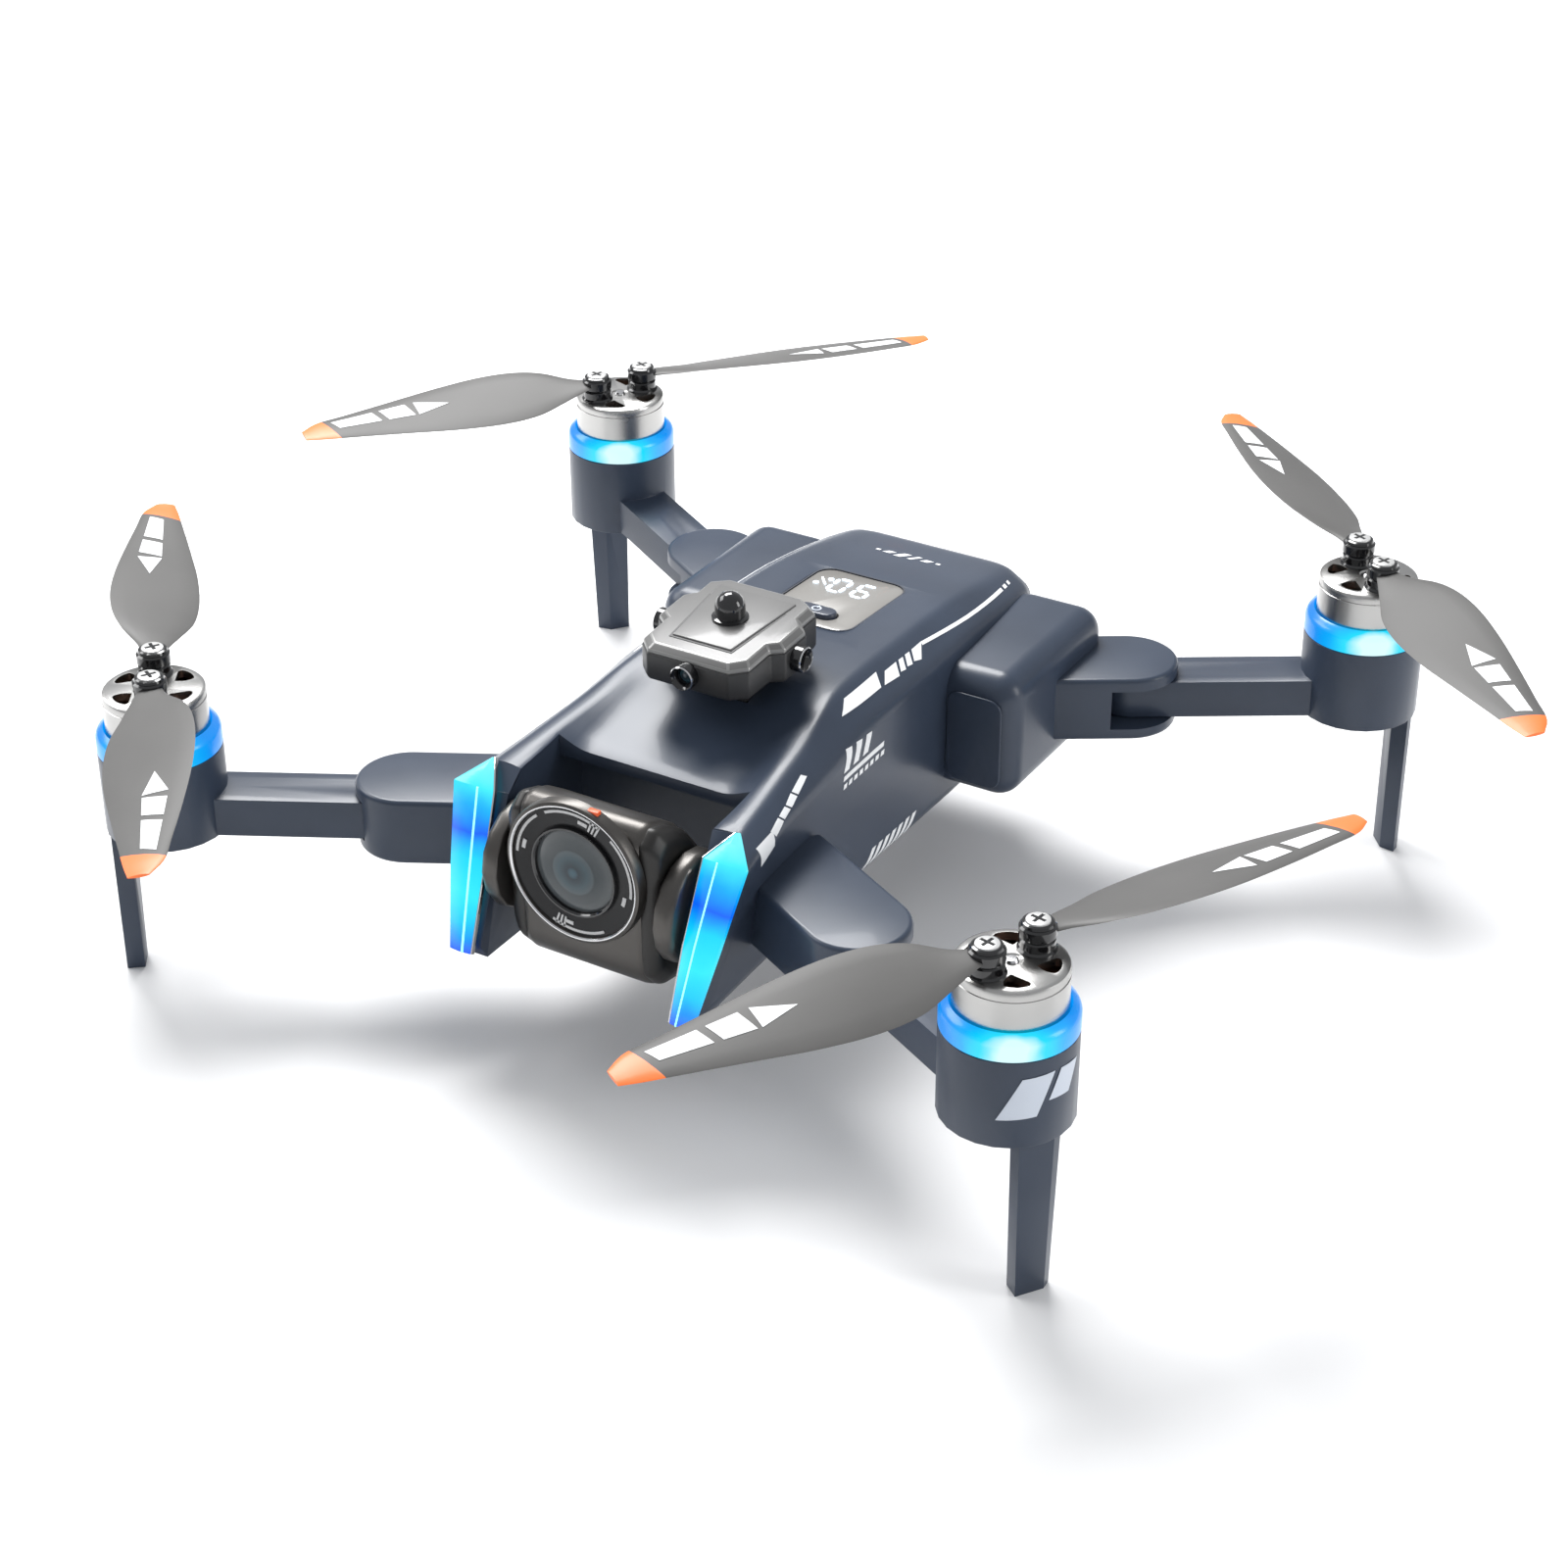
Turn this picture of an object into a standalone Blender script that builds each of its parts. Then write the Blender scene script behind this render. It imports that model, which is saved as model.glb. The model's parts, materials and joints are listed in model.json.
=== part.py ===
"""Foldable quadcopter with a tilting nose camera: body, four folding arms, rotors with folding blades.

Metres, +Z up, nose towards -Y, belly underside on z = 0. Every length below is in millimetres and is
scaled by MM where the geometry is made.
"""
import math
from types import SimpleNamespace

import bmesh
import bpy

MM = 0.001

# folding arms: pivot, length and resting direction
ARM_LENGTH = 45.3
ARM_WIDTH = 10.6
ARM_HEIGHT = 7.6
FRONT_PIVOT = (47.6, -52.0)
REAR_PIVOT = (47.7, 53.9)
FRONT_ARM_ANGLE = -28.1
REAR_ARM_ANGLE = 31.75
FRONT_ARM_FLOOR = 11.5
REAR_ARM_FLOOR = 13.6
FRONT_FOLD = 100.0
REAR_FOLD = 80.0

# motor pods
POD_RADIUS = 11.5
POD_BORE = 9.9
POD_HEIGHT = 19.75
POD_COVER = 1.6
RING_HEIGHT = 3.2
RING_SLOPE = 1.74
FRONT_RIM = 31.0
REAR_RIM = 33.1
GROUND = -19.3

# motors and rotors
BELL_RADIUS = 9.47
BELL_WALL = 0.75
BELL_TOP = 8.5
BELL_SKIRT = 2.0
SHAFT_RADIUS = 1.3
POST_OFFSET = 5.4
POST_RADIUS = 2.95
POST_HEIGHT = 2.2
HUB_RADIUS = 3.1
HUB_HEIGHT = 2.2
BLADE_LENGTH = 65.5
BLADE_THICKNESS = 1.1

# forks on the body that carry the arms
FORK_HALF_WIDTH = 9.6
FORK_GAP = 0.3
PIVOT_PIN_RADIUS = 2.5
PIVOT_BORE_RADIUS = 2.8

# camera
BAY_HALF_WIDTH = 20.2
CAMERA_AXIS_Y = -58.0
CAMERA_AXIS_Z = 18.5
CAMERA_HALF_WIDTH = 16.0
LENS_Z = 24.6
LENS_Y = -66.2
BEZEL_RADIUS = 13.9
GLASS_RADIUS = 8.2

# gap left between neighbouring pieces
GAP = 0.2

# round pieces are shaded smooth up to this angle between faces
SMOOTH_ANGLE = math.radians(35)

# flat roof behind the module, as (y, z) at its front and rear end
ROOF_FRONT = (10.0, 39.0)
ROOF_REAR = (35.0, 37.5)

# hollow spaces of the shell, as (lowest corner, highest corner)
BAY_OPEN = ((-BAY_HALF_WIDTH, -80, -5), (BAY_HALF_WIDTH, -42.0, 60))
BAY_DEEP = ((-BAY_HALF_WIDTH, -60, -5), (BAY_HALF_WIDTH, -35.5, 31.2))
INNER_ROOM = ((-20.3, -32.5, -1), (20.3, 59.6, 28.8))
BATTERY_DOOR = ((-15.4, 50, 2.5), (15.4, 70, 19.4))
MODULE_SOCKET = ((-6.3, -20.3, 25), (6.3, -7.7, 45))
SHOULDER_RANGE = {"x": (20.0, 40.0), "y": (20.0, 60.0), "z": (5.0, 31.0)}
SHOULDER_EDGE = 5.0

# forks: plates below and above the arm, reach back into the body, and the arm's clearance in them
FORK_PLATE_LOW = 2.7
FORK_PLATE_HIGH = 2.9
FORK_BACK = {"front": 28, "rear": 20}
SLOT_CLEARANCE = 0.4
SLOT_REACH = 23.0

# lens in the belly plate
FLOW_LENS_Y = -16.0

# nose light strips from their top tip down: inner x, outer x, y, z
STRIP_ROWS = (
    (25.0, 25.7, -54.9, 33.9),
    (21.6, 30.5, -60.3, 30.6),
    (20.9, 28.2, -65.9, 16.2),
    (20.8, 25.6, -70.9, 2.4),
)
STRIP_DEPTH_Y = 1.0
STRIP_DEPTH_Z = 0.55

# obstacle module: half of its plan outline, front to rear, and its levels as (scale, front z, rear z)
MODULE_HALF = ((8.6, -30.4), (11.4, -27.6), (11.4, -20.6), (13.6, -18.8), (13.6, -11.6), (11.6, -9.4),
               (11.6, -4.6), (8.4, -2.2))
MODULE_MIDDLE_Y = -16.0
MODULE_LEVELS = ((0.93, 42.6, 42.6), (1.0, 43.4, 43.4), (1.0, 48.9, 50.2), (0.9, 50.1, 51.7))
DOME_PLACE = (0, -15.7, 51.2)
SENSORS = (
    ("front_sensor", (0, -30.7, 46.2), (math.pi / 2, 0, 0)),
    ("left_sensor", (-13.9, -15.2, 46.4), (0, -math.pi / 2, 0)),
    ("right_sensor", (13.9, -15.2, 46.4), (0, math.pi / 2, 0)),
)

# camera block: side outline as (y, z) from the tilt axis, and its scale across the width
CAMERA_OUTLINE = ((-8.0, 14.6), (-8.0, -9.0), (-7.4, -13.0), (-4.4, -16.4), (1.0, -17.4), (7.0, -15.0),
                  (12.0, -8.0), (13.0, 3.0), (11.4, 13.0), (7.0, 18.6), (4.0, 19.3), (-5.2, 17.6))
CAMERA_SLICES = ((-CAMERA_HALF_WIDTH, 0.86), (-13.4, 1.0), (13.4, 1.0), (CAMERA_HALF_WIDTH, 0.86))
AXLE_RADIUS = 3.1
AXLE_BORE = 3.4
BOSS_RADIUS = 10.4

# landing leg rings as (along the arm, across it) from the pod's axis
LEG_TOP = ((6.8, -3.8), (10.1, -4.4), (10.7, 2.0), (9.6, 4.0), (7.0, 1.4))
LEG_FOOT = ((6.9, -3.5), (10.2, -4.1), (10.8, 1.2), (9.8, 2.8), (7.4, 0.8))
LEG_NECK = ((6.0, -3.4), (8.4, -3.4), (8.4, 1.2), (6.0, 1.2))

# motors
SEAT_THICKNESS = 2.2
SHAFT_CLEARANCE = 0.3
WINDOW_SHAPE = ((3.5, 0.0), (5.4, -1.9), (7.5, -2.3), (8.1, 0.0), (7.5, 2.3), (5.4, 1.9))
WINDOW_ANGLES = (54, 126, 234, 306)
SCREW_HOLE = 1.1
HUB_BORE = 1.2

# blade sections from root to tip: distance, leading edge, trailing edge, pitch in degrees
BLADE_PLAN = (
    (2.2, 2.3, -2.3, 4),
    (5.0, 3.2, -3.3, 9),
    (10.0, 6.2, -5.2, 15),
    (16.0, 8.0, -7.4, 16),
    (24.0, 8.5, -8.3, 15),
    (34.0, 7.7, -7.9, 12.5),
    (45.0, 6.0, -6.4, 10),
    (55.0, 4.2, -4.9, 8),
    (61.5, 3.0, -3.9, 7),
    (BLADE_LENGTH, 0.6, -3.2, 6),
)

# side (+1 is +X), front or rear, direction of the first blade, of the second, of the two posts
ARMS = (
    (-1, "front", 129.8, -49.6, 127.4),
    (1, "front", -120.0, 61.1, -110.0),
    (-1, "rear", -125.4, 47.7, -119.7),
    (1, "rear", 136.8, -43.9, 136.6),
)

# half of each body section, crest to belly: (x, y, z)
HULL_SECTIONS = (
    ((16, 62, 32.6), (20.5, 62, 29), (20.5, 62, 14), (20.5, 62, 4), (17, 62, 0.6)),
    ((18, 58, 33.6), (23.5, 58, 30.5), (24, 58, 15), (24, 58, 3), (22.8, 57.5, 0)),
    ((18.5, 35, 37.5), (25, 35, 33.2), (25.5, 35, 17), (25.2, 35, 2.5), (23.4, 35, 0)),
    ((19, 10, 39), (26, 10, 34), (26, 10, 17), (25, 10, 2.5), (23.2, 10, 0)),
    ((19.7, -9, 39.4), (26.5, -9, 34.2), (26, -9, 17), (24.6, -9, 2.5), (23, -9, 0)),
    ((21, -18, 38.2), (26.8, -18, 33), (26, -18, 17), (24.4, -18, 2.5), (23, -18, 0)),
    ((23, -28, 35.8), (27.3, -28, 31.8), (26.2, -28, 17), (24.4, -28, 2.5), (23, -28, 0)),
    ((24.3, -42, 34.2), (28.4, -43.5, 31), (26.6, -45, 16), (24.6, -46, 2.4), (23.2, -46, 0)),
    ((25.4, -54, 33), (30.1, -58.6, 30), (27.8, -64.2, 16), (25.4, -69.2, 2.4), (24, -67, 0)),
)


def collection(name):
    made = bpy.data.collections.new(name)
    bpy.context.scene.collection.children.link(made)
    return made


def clear_scene():
    for thing in list(bpy.data.objects):
        bpy.data.objects.remove(thing, do_unlink=True)


clear_scene()
PARTS = collection("foldable_quadcopter")
CUTTERS = collection("cutters")


def material(name, colour, metallic=0.0, roughness=0.5, glow=0.0):
    made = bpy.data.materials.new(name)
    made.use_nodes = True
    made.diffuse_color = (*colour, 1.0)
    socket = made.node_tree.nodes["Principled BSDF"].inputs
    socket["Base Color"].default_value = (*colour, 1.0)
    socket["Metallic"].default_value = metallic
    socket["Roughness"].default_value = roughness
    if glow:
        socket["Emission Color"].default_value = (*colour, 1.0)
        socket["Emission Strength"].default_value = glow
    return made


NAVY = material("navy_plastic", (0.055, 0.075, 0.105), 0.0, 0.42)
NAVY_DARK = material("navy_belly", (0.03, 0.042, 0.06), 0.0, 0.5)
GLOW_BLUE = material("glow_blue", (0.0, 0.45, 0.95), 0.0, 0.3, 1.5)
STEEL = material("bright_steel", (0.72, 0.72, 0.71), 1.0, 0.25)
COPPER = material("motor_windings", (0.3, 0.14, 0.06), 0.6, 0.5)
BLADE_GREY = material("blade_grey", (0.12, 0.12, 0.12), 0.0, 0.5)
MODULE_GREY = material("module_grey", (0.13, 0.13, 0.13), 0.0, 0.45)
BLACK = material("gloss_black", (0.01, 0.01, 0.011), 0.0, 0.1)
CAMERA_GREY = material("camera_grey", (0.09, 0.085, 0.08), 0.7, 0.4)
GLASS = material("lens_glass", (0.05, 0.07, 0.08), 0.0, 0.05)
PANEL = material("display_panel", (0.26, 0.25, 0.235), 0.0, 0.4)
BOARD = material("circuit_board", (0.02, 0.16, 0.07), 0.0, 0.5)
BATTERY = material("battery_case", (0.04, 0.05, 0.07), 0.0, 0.5)


def add_object(name, data, mat=None, parent=None):
    made = bpy.data.objects.new(name, data)
    PARTS.objects.link(made)
    if mat:
        data.materials.append(mat)
    if parent:
        made.parent = parent
    return made


def empty(name, location, angle=0.0, parent=None):
    made = bpy.data.objects.new(name, None)
    made.empty_display_size = 0.01
    made.location = [v * MM for v in location]
    made.rotation_euler = (0, 0, math.radians(angle))
    PARTS.objects.link(made)
    if parent:
        made.parent = parent
    return made


def mesh_from(name, verts, faces):
    data = bpy.data.meshes.new(name)
    data.from_pydata([[c * MM for c in v] for v in verts], [], faces)
    bm = bmesh.new()
    bm.from_mesh(data)
    bmesh.ops.recalc_face_normals(bm, faces=bm.faces)
    bm.to_mesh(data)
    bm.free()
    return data


def loft(name, rings, **where):
    """Closed rings of equal count joined side by side, with a flat face over each end."""
    count = len(rings[0])
    verts = [v for ring in rings for v in ring]
    faces = [tuple(range(count)), tuple(range(len(verts) - count, len(verts)))]
    for i in range(len(rings) - 1):
        for j in range(count):
            k = (j + 1) % count
            faces.append((i * count + j, i * count + k, (i + 1) * count + k, (i + 1) * count + j))
    return add_object(name, mesh_from(name, verts, faces), **where)


def prism(name, outline, low, high, **where):
    """A flat outline as a filled 2D curve given its thickness, turned to a mesh."""
    curve = bpy.data.curves.new(name + "_outline", "CURVE")
    curve.dimensions = "2D"
    curve.fill_mode = "BOTH"
    curve.extrude = (high - low) / 2 * MM
    spline = curve.splines.new("POLY")
    spline.points.add(len(outline) - 1)
    for point, (x, y) in zip(spline.points, outline):
        point.co = (x * MM, y * MM, 0, 1)
    spline.use_cyclic_u = True
    holder = bpy.data.objects.new(name + "_outline", curve)
    data = bpy.data.meshes.new_from_object(holder)
    bpy.data.objects.remove(holder)
    bm = bmesh.new()
    bm.from_mesh(data)
    bmesh.ops.remove_doubles(bm, verts=bm.verts, dist=1e-6)
    bmesh.ops.translate(bm, verts=bm.verts, vec=(0, 0, (high + low) / 2 * MM))
    bmesh.ops.recalc_face_normals(bm, faces=bm.faces)
    bm.to_mesh(data)
    bm.free()
    data.name = name
    return add_object(name, data, **where)


def box(name, low, high, bevel=0.0, segments=2, **where):
    bm = bmesh.new()
    bmesh.ops.create_cube(bm, size=1.0)
    size = [(b - a) * MM for a, b in zip(low, high)]
    middle = [(a + b) / 2 * MM for a, b in zip(low, high)]
    bmesh.ops.scale(bm, verts=bm.verts, vec=size)
    bmesh.ops.translate(bm, verts=bm.verts, vec=middle)
    data = bpy.data.meshes.new(name)
    bm.to_mesh(data)
    bm.free()
    made = add_object(name, data, **where)
    if bevel:
        soften(made, bevel, segments)
    return made


def soften(thing, width, segments=2):
    edge = thing.modifiers.new("rounded_edges", "BEVEL")
    edge.width = width * MM
    edge.segments = segments
    edge.limit_method = "ANGLE"
    edge.angle_limit = math.radians(40)


def turned(name, profile, steps=24, **where):
    """A profile of (radius, height) pairs turned about Z; it runs down the outer side, top to bottom."""
    data = bpy.data.meshes.new(name)
    verts = [(r * MM, 0, z * MM) for r, z in profile]
    closed = profile[0][0] > 0
    edges = [(i, i + 1) for i in range(len(verts) - 1)]
    if closed:
        edges.append((len(verts) - 1, 0))
    data.from_pydata(verts, edges, [])
    made = add_object(name, data, **where)
    turn = made.modifiers.new("turned", "SCREW")
    turn.angle = 2 * math.pi
    turn.steps = steps
    turn.render_steps = steps
    turn.screw_offset = 0
    turn.use_merge_vertices = True
    turn.merge_threshold = 0.00001
    data = bpy.data.meshes.new_from_object(made.evaluated_get(bpy.context.evaluated_depsgraph_get()))
    data.shade_smooth()
    data.set_sharp_from_angle(angle=SMOOTH_ANGLE)
    made.modifiers.clear()
    made.data = data
    return made


def cutter_of(thing):
    for coll in list(thing.users_collection):
        coll.objects.unlink(thing)
    CUTTERS.objects.link(thing)
    thing.hide_render = True
    thing.display_type = "WIRE"


def combine(target, tool, operation):
    cutter_of(tool)
    step = target.modifiers.new(operation.lower() + "_" + tool.name, "BOOLEAN")
    step.operation = operation
    step.solver = "EXACT"
    step.object = tool


def cut(target, tool):
    combine(target, tool, "DIFFERENCE")


def fuse(target, tool):
    combine(target, tool, "UNION")


def direction(angle):
    return math.cos(math.radians(angle)), math.sin(math.radians(angle))


def arc(centre, radius, first, last, steps):
    points = []
    for i in range(steps + 1):
        c, s = direction(first + (last - first) * i / steps)
        points.append((centre[0] + radius * c, centre[1] + radius * s))
    return points


def arm_setting(side, end):
    """Name, pivot, outward direction, sense of folding, floor, rim and fold angle of one arm."""
    front = end == "front"
    pivot = FRONT_PIVOT if front else REAR_PIVOT
    angle = FRONT_ARM_ANGLE if front else REAR_ARM_ANGLE
    if side < 0:
        angle = 180 - angle
    return SimpleNamespace(
        tag=end + ("_left" if side < 0 else "_right"),
        pivot=(side * pivot[0], pivot[1]),
        angle=angle,
        sense=side if front else -side,
        floor=FRONT_ARM_FLOOR if front else REAR_ARM_FLOOR,
        rim=FRONT_RIM if front else REAR_RIM,
        fold=FRONT_FOLD if front else REAR_FOLD,
        back=FORK_BACK[end],
    )


def mirrored(half):
    """A full ring from half a section."""
    return list(half) + [(-x, y, z) for x, y, z in reversed(half)]


# ---------------------------------------------------------------- body

def hull_loft():
    rings = [mirrored(s) for s in HULL_SECTIONS]
    count = len(rings[0])
    verts = [v for ring in rings for v in ring]
    faces = []
    for i in range(len(rings) - 1):
        for j in range(count):
            k = (j + 1) % count
            faces.append((i * count + j, i * count + k, (i + 1) * count + k, (i + 1) * count + j))
    for start in (0, (len(rings) - 1) * count):
        for j in range(4):
            faces.append((start + j, start + j + 1, start + 8 - j, start + 9 - j))
    data = mesh_from("upper_shell", verts, faces)
    bm = bmesh.new()
    bm.from_mesh(data)
    bmesh.ops.triangulate(bm, faces=bm.faces)
    bm.to_mesh(data)
    bm.free()
    return add_object("upper_shell", data, NAVY)


def fork_outline(arm):
    """Stadium from inside the body to the rounded end about the arm's pivot."""
    c, s = direction(arm.angle)
    points = arc(arm.pivot, FORK_HALF_WIDTH, arm.angle - 90, arm.angle + 90, 8)
    for v in (FORK_HALF_WIDTH, -FORK_HALF_WIDTH):
        points.append((arm.pivot[0] - arm.back * c - v * s, arm.pivot[1] - arm.back * s + v * c))
    return points


def slot_outline(arm):
    """Space the arm's root sweeps between its resting and folded directions, open on the folding side."""
    half = ARM_WIDTH / 2 + SLOT_CLEARANCE
    side_reach = SLOT_REACH - 3

    def at(turn, along, across):
        c, s = direction(arm.angle + arm.sense * turn)
        across *= arm.sense
        return (arm.pivot[0] + along * c - across * s, arm.pivot[1] + along * s + across * c)

    sweep_steps, back_steps = 3, 4
    points = [at(0, side_reach, -half)]
    points += [at(arm.fold * i / sweep_steps, SLOT_REACH, 0) for i in range(sweep_steps + 1)]
    points.append(at(arm.fold, side_reach, half))
    for i in range(back_steps + 1):
        turn = arm.fold + 90 + (180 - arm.fold) * i / back_steps
        points.append(at(turn, half, 0))
    return points


def add_fork(body, arm):
    low, high = arm.floor - FORK_PLATE_LOW, arm.floor + ARM_HEIGHT + FORK_PLATE_HIGH
    fuse(body, prism("fork_" + arm.tag, fork_outline(arm), low, high))


def add_fork_slot(body, arm):
    """Opens the fork for the arm's root and puts the pivot pin across the opening."""
    low, high = arm.floor - FORK_GAP, arm.floor + ARM_HEIGHT + FORK_GAP
    cut(body, prism("slot_" + arm.tag, slot_outline(arm), low, high))
    sink = 0.4
    pin = turned("pin_" + arm.tag, [(0, high + sink), (PIVOT_PIN_RADIUS, high + sink),
                                    (PIVOT_PIN_RADIUS, low - sink), (0, low - sink)], 12)
    pin.location = (arm.pivot[0] * MM, arm.pivot[1] * MM, 0)
    fuse(body, pin)


def add_shoulder(body, side):
    x0, x1 = sorted(side * x for x in SHOULDER_RANGE["x"])
    (y0, y1), (z0, z1) = SHOULDER_RANGE["y"], SHOULDER_RANGE["z"]
    name = "shoulder_left" if side < 0 else "shoulder_right"
    block = box(name, (x0, y0, z0), (x1, y1, z1), SHOULDER_EDGE, 3)
    fuse(body, block)


def make_upper_shell():
    body = hull_loft()
    arms = {(side, end): arm_setting(side, end) for side in (-1, 1) for end in ("front", "rear")}
    for side in (-1, 1):
        add_shoulder(body, side)
        add_fork(body, arms[side, "front"])
        add_fork(body, arms[side, "rear"])
    spaces = (("bay_open", BAY_OPEN), ("bay_deep", BAY_DEEP), ("inner_room", INNER_ROOM),
              ("battery_door", BATTERY_DOOR), ("module_socket", MODULE_SOCKET))
    for name, corners in spaces:
        cut(body, box(name, *corners))
    for arm in arms.values():
        add_fork_slot(body, arm)
    add_display_recess(body)
    return body


def rounded_outline(x0, x1, y0, y1, radius, steps=3):
    points = arc((x1 - radius, y1 - radius), radius, 0, 90, steps)
    points += arc((x0 + radius, y1 - radius), radius, 90, 180, steps)
    points += arc((x0 + radius, y0 + radius), radius, 180, 270, steps)
    points += arc((x1 - radius, y0 + radius), radius, 270, 360, steps)
    return points


def tilt_onto_roof(thing, y=22.0):
    """Put a flat piece made about its own centre on the sloping roof behind the module."""
    rise = (ROOF_REAR[1] - ROOF_FRONT[1]) / (ROOF_REAR[0] - ROOF_FRONT[0])
    thing.rotation_euler = (math.atan(rise), 0, 0)
    thing.location = (0, y * MM, (ROOF_FRONT[1] + (y - ROOF_FRONT[0]) * rise) * MM)


def add_display_recess(body):
    recess = prism("display_recess", rounded_outline(-9.8, 9.8, -13.0, 13.0, 3.8), -1.6, 3.0)
    tilt_onto_roof(recess)
    cut(body, recess)


def make_display():
    panel = prism("display_panel", rounded_outline(-9.5, 9.5, -12.7, 12.7, 3.5), -1.35, -0.05, mat=PANEL)
    tilt_onto_roof(panel)
    hole = prism("button_hole", rounded_outline(-4.5, 4.5, -9.3, -4.7, 2.25), -3, 2)
    tilt_onto_roof(hole)
    cut(panel, hole)
    button = prism("power_button", rounded_outline(-4.2, 4.2, -2.0, 2.0, 1.95), -0.9, 0.75, mat=NAVY_DARK)
    tilt_onto_roof(button, 15.0)
    return panel, button


def make_belly():
    plate = box("belly_plate", (-20.0, -32.2, 0), (20.0, 59.3, 1.8), mat=NAVY_DARK)
    lens_hole = turned("flow_hole", [(0, 3), (3.3, 3), (3.3, -1), (0, -1)], 16)
    lens_hole.location = (0, FLOW_LENS_Y * MM, 0)
    cut(plate, lens_hole)
    sensor = turned("flow_sensor", [(0, 3.4), (2.9, 3.4), (3.0, 0.6), (2.2, 0.3), (0, 0.3)], 16, mat=BLACK)
    sensor.location = (0, FLOW_LENS_Y * MM, 0)
    return plate, sensor


def make_inner_parts():
    battery = box("battery", (-15.0, 3.0, 2.9), (15.0, 61.6, 19.0), 1.2, 1, mat=BATTERY)
    board = box("flight_board", (-16, -28, 21.5), (16, 40, 23.1), mat=BOARD)
    return battery, board


def make_strip(side):
    """Glowing strip over the nose of one prong: a point on top, a kink outside, then down to the chin."""
    rings = []
    for x0, x1, y, z in STRIP_ROWS:
        back, down = y + STRIP_DEPTH_Y, z - STRIP_DEPTH_Z
        rings.append([(side * x0, y, z), (side * x1, y, z), (side * x1, back, down), (side * x0, back, down)])
    name = "light_strip_left" if side < 0 else "light_strip_right"
    return loft(name, rings, mat=GLOW_BLUE)


# ---------------------------------------------------------------- obstacle module

def make_module():
    outline = list(MODULE_HALF) + [(-x, y) for x, y in reversed(MODULE_HALF)]
    front, rear = MODULE_HALF[0][1], MODULE_HALF[-1][1]
    rings = []
    for scale, z0, z1 in MODULE_LEVELS:
        ring = []
        for x, y in outline:
            share = (y - front) / (rear - front)
            ring.append((x * scale, MODULE_MIDDLE_Y + (y - MODULE_MIDDLE_Y) * scale, z0 + (z1 - z0) * share))
        rings.append(ring)
    housing = loft("module_housing", rings, mat=MODULE_GREY)
    stem = box("module_stem", (-6.0, -20.0, 33.0), (6.0, -8.0, 42.3), mat=MODULE_GREY)
    fuse(stem, box("module_collar", (-8.0, -22.0, 40.2), (8.0, -6.0, 42.3)))
    dome_profile = [(0, 5.1), (1.5, 4.7), (2.5, 3.7), (2.85, 2.4), (2.85, 0), (0, 0)]
    dome = turned("sky_dome", dome_profile, 16, mat=BLACK)
    dome.location = [v * MM for v in DOME_PLACE]
    for name, place, turn in SENSORS:
        barrel = turned(name, [(2.45, 1.8), (2.45, 0.0), (1.4, 0.0), (1.4, 1.2), (1.9, 1.8)], 12, mat=BLACK)
        barrel.location = [v * MM for v in place]
        barrel.rotation_euler = turn
    return housing, stem, dome


# ---------------------------------------------------------------- camera

def make_camera():
    rings = [[(x, y * scale, z * scale) for y, z in CAMERA_OUTLINE] for x, scale in CAMERA_SLICES]
    housing = loft("camera_housing", rings, mat=CAMERA_GREY)
    housing.location = (0, CAMERA_AXIS_Y * MM, CAMERA_AXIS_Z * MM)
    bore = turned("axle_bore", [(0, 30), (AXLE_BORE, 30), (AXLE_BORE, -30), (0, -30)], 16)
    bore.rotation_euler = (0, math.pi / 2, 0)
    bore.location = housing.location
    cut(housing, bore)
    half = BAY_HALF_WIDTH - GAP
    inner = CAMERA_HALF_WIDTH + 0.3
    chamfer = 1.0
    half_axle = [(0, half), (BOSS_RADIUS - 0.8, half), (BOSS_RADIUS, half - chamfer), (BOSS_RADIUS, inner),
                 (AXLE_RADIUS, inner)]
    axle = turned("camera_axle", half_axle + [(r, -z) for r, z in reversed(half_axle)], 16, mat=CAMERA_GREY)
    axle.rotation_euler = (0, math.pi / 2, 0)
    axle.location = housing.location
    bezel = turned("lens_bezel", [(GLASS_RADIUS + 0.2, 1.2), (12.6, 1.2), (12.9, 1.9), (13.5, 2.0),
                                  (BEZEL_RADIUS, 1.5), (BEZEL_RADIUS, 0), (GLASS_RADIUS + 0.2, 0)], 24,
                   mat=BLACK)
    glass = turned("lens_glass", [(0, 1.9), (4.0, 1.7), (7.0, 1.2), (GLASS_RADIUS, 0.7), (GLASS_RADIUS, 0),
                                  (0, 0)], 24, mat=GLASS)
    for piece in (bezel, glass):
        piece.rotation_euler = (math.pi / 2, 0, 0)
        piece.location = (0, LENS_Y * MM, LENS_Z * MM)
    return housing, axle, bezel, glass


# ---------------------------------------------------------------- arms and rotors

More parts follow.
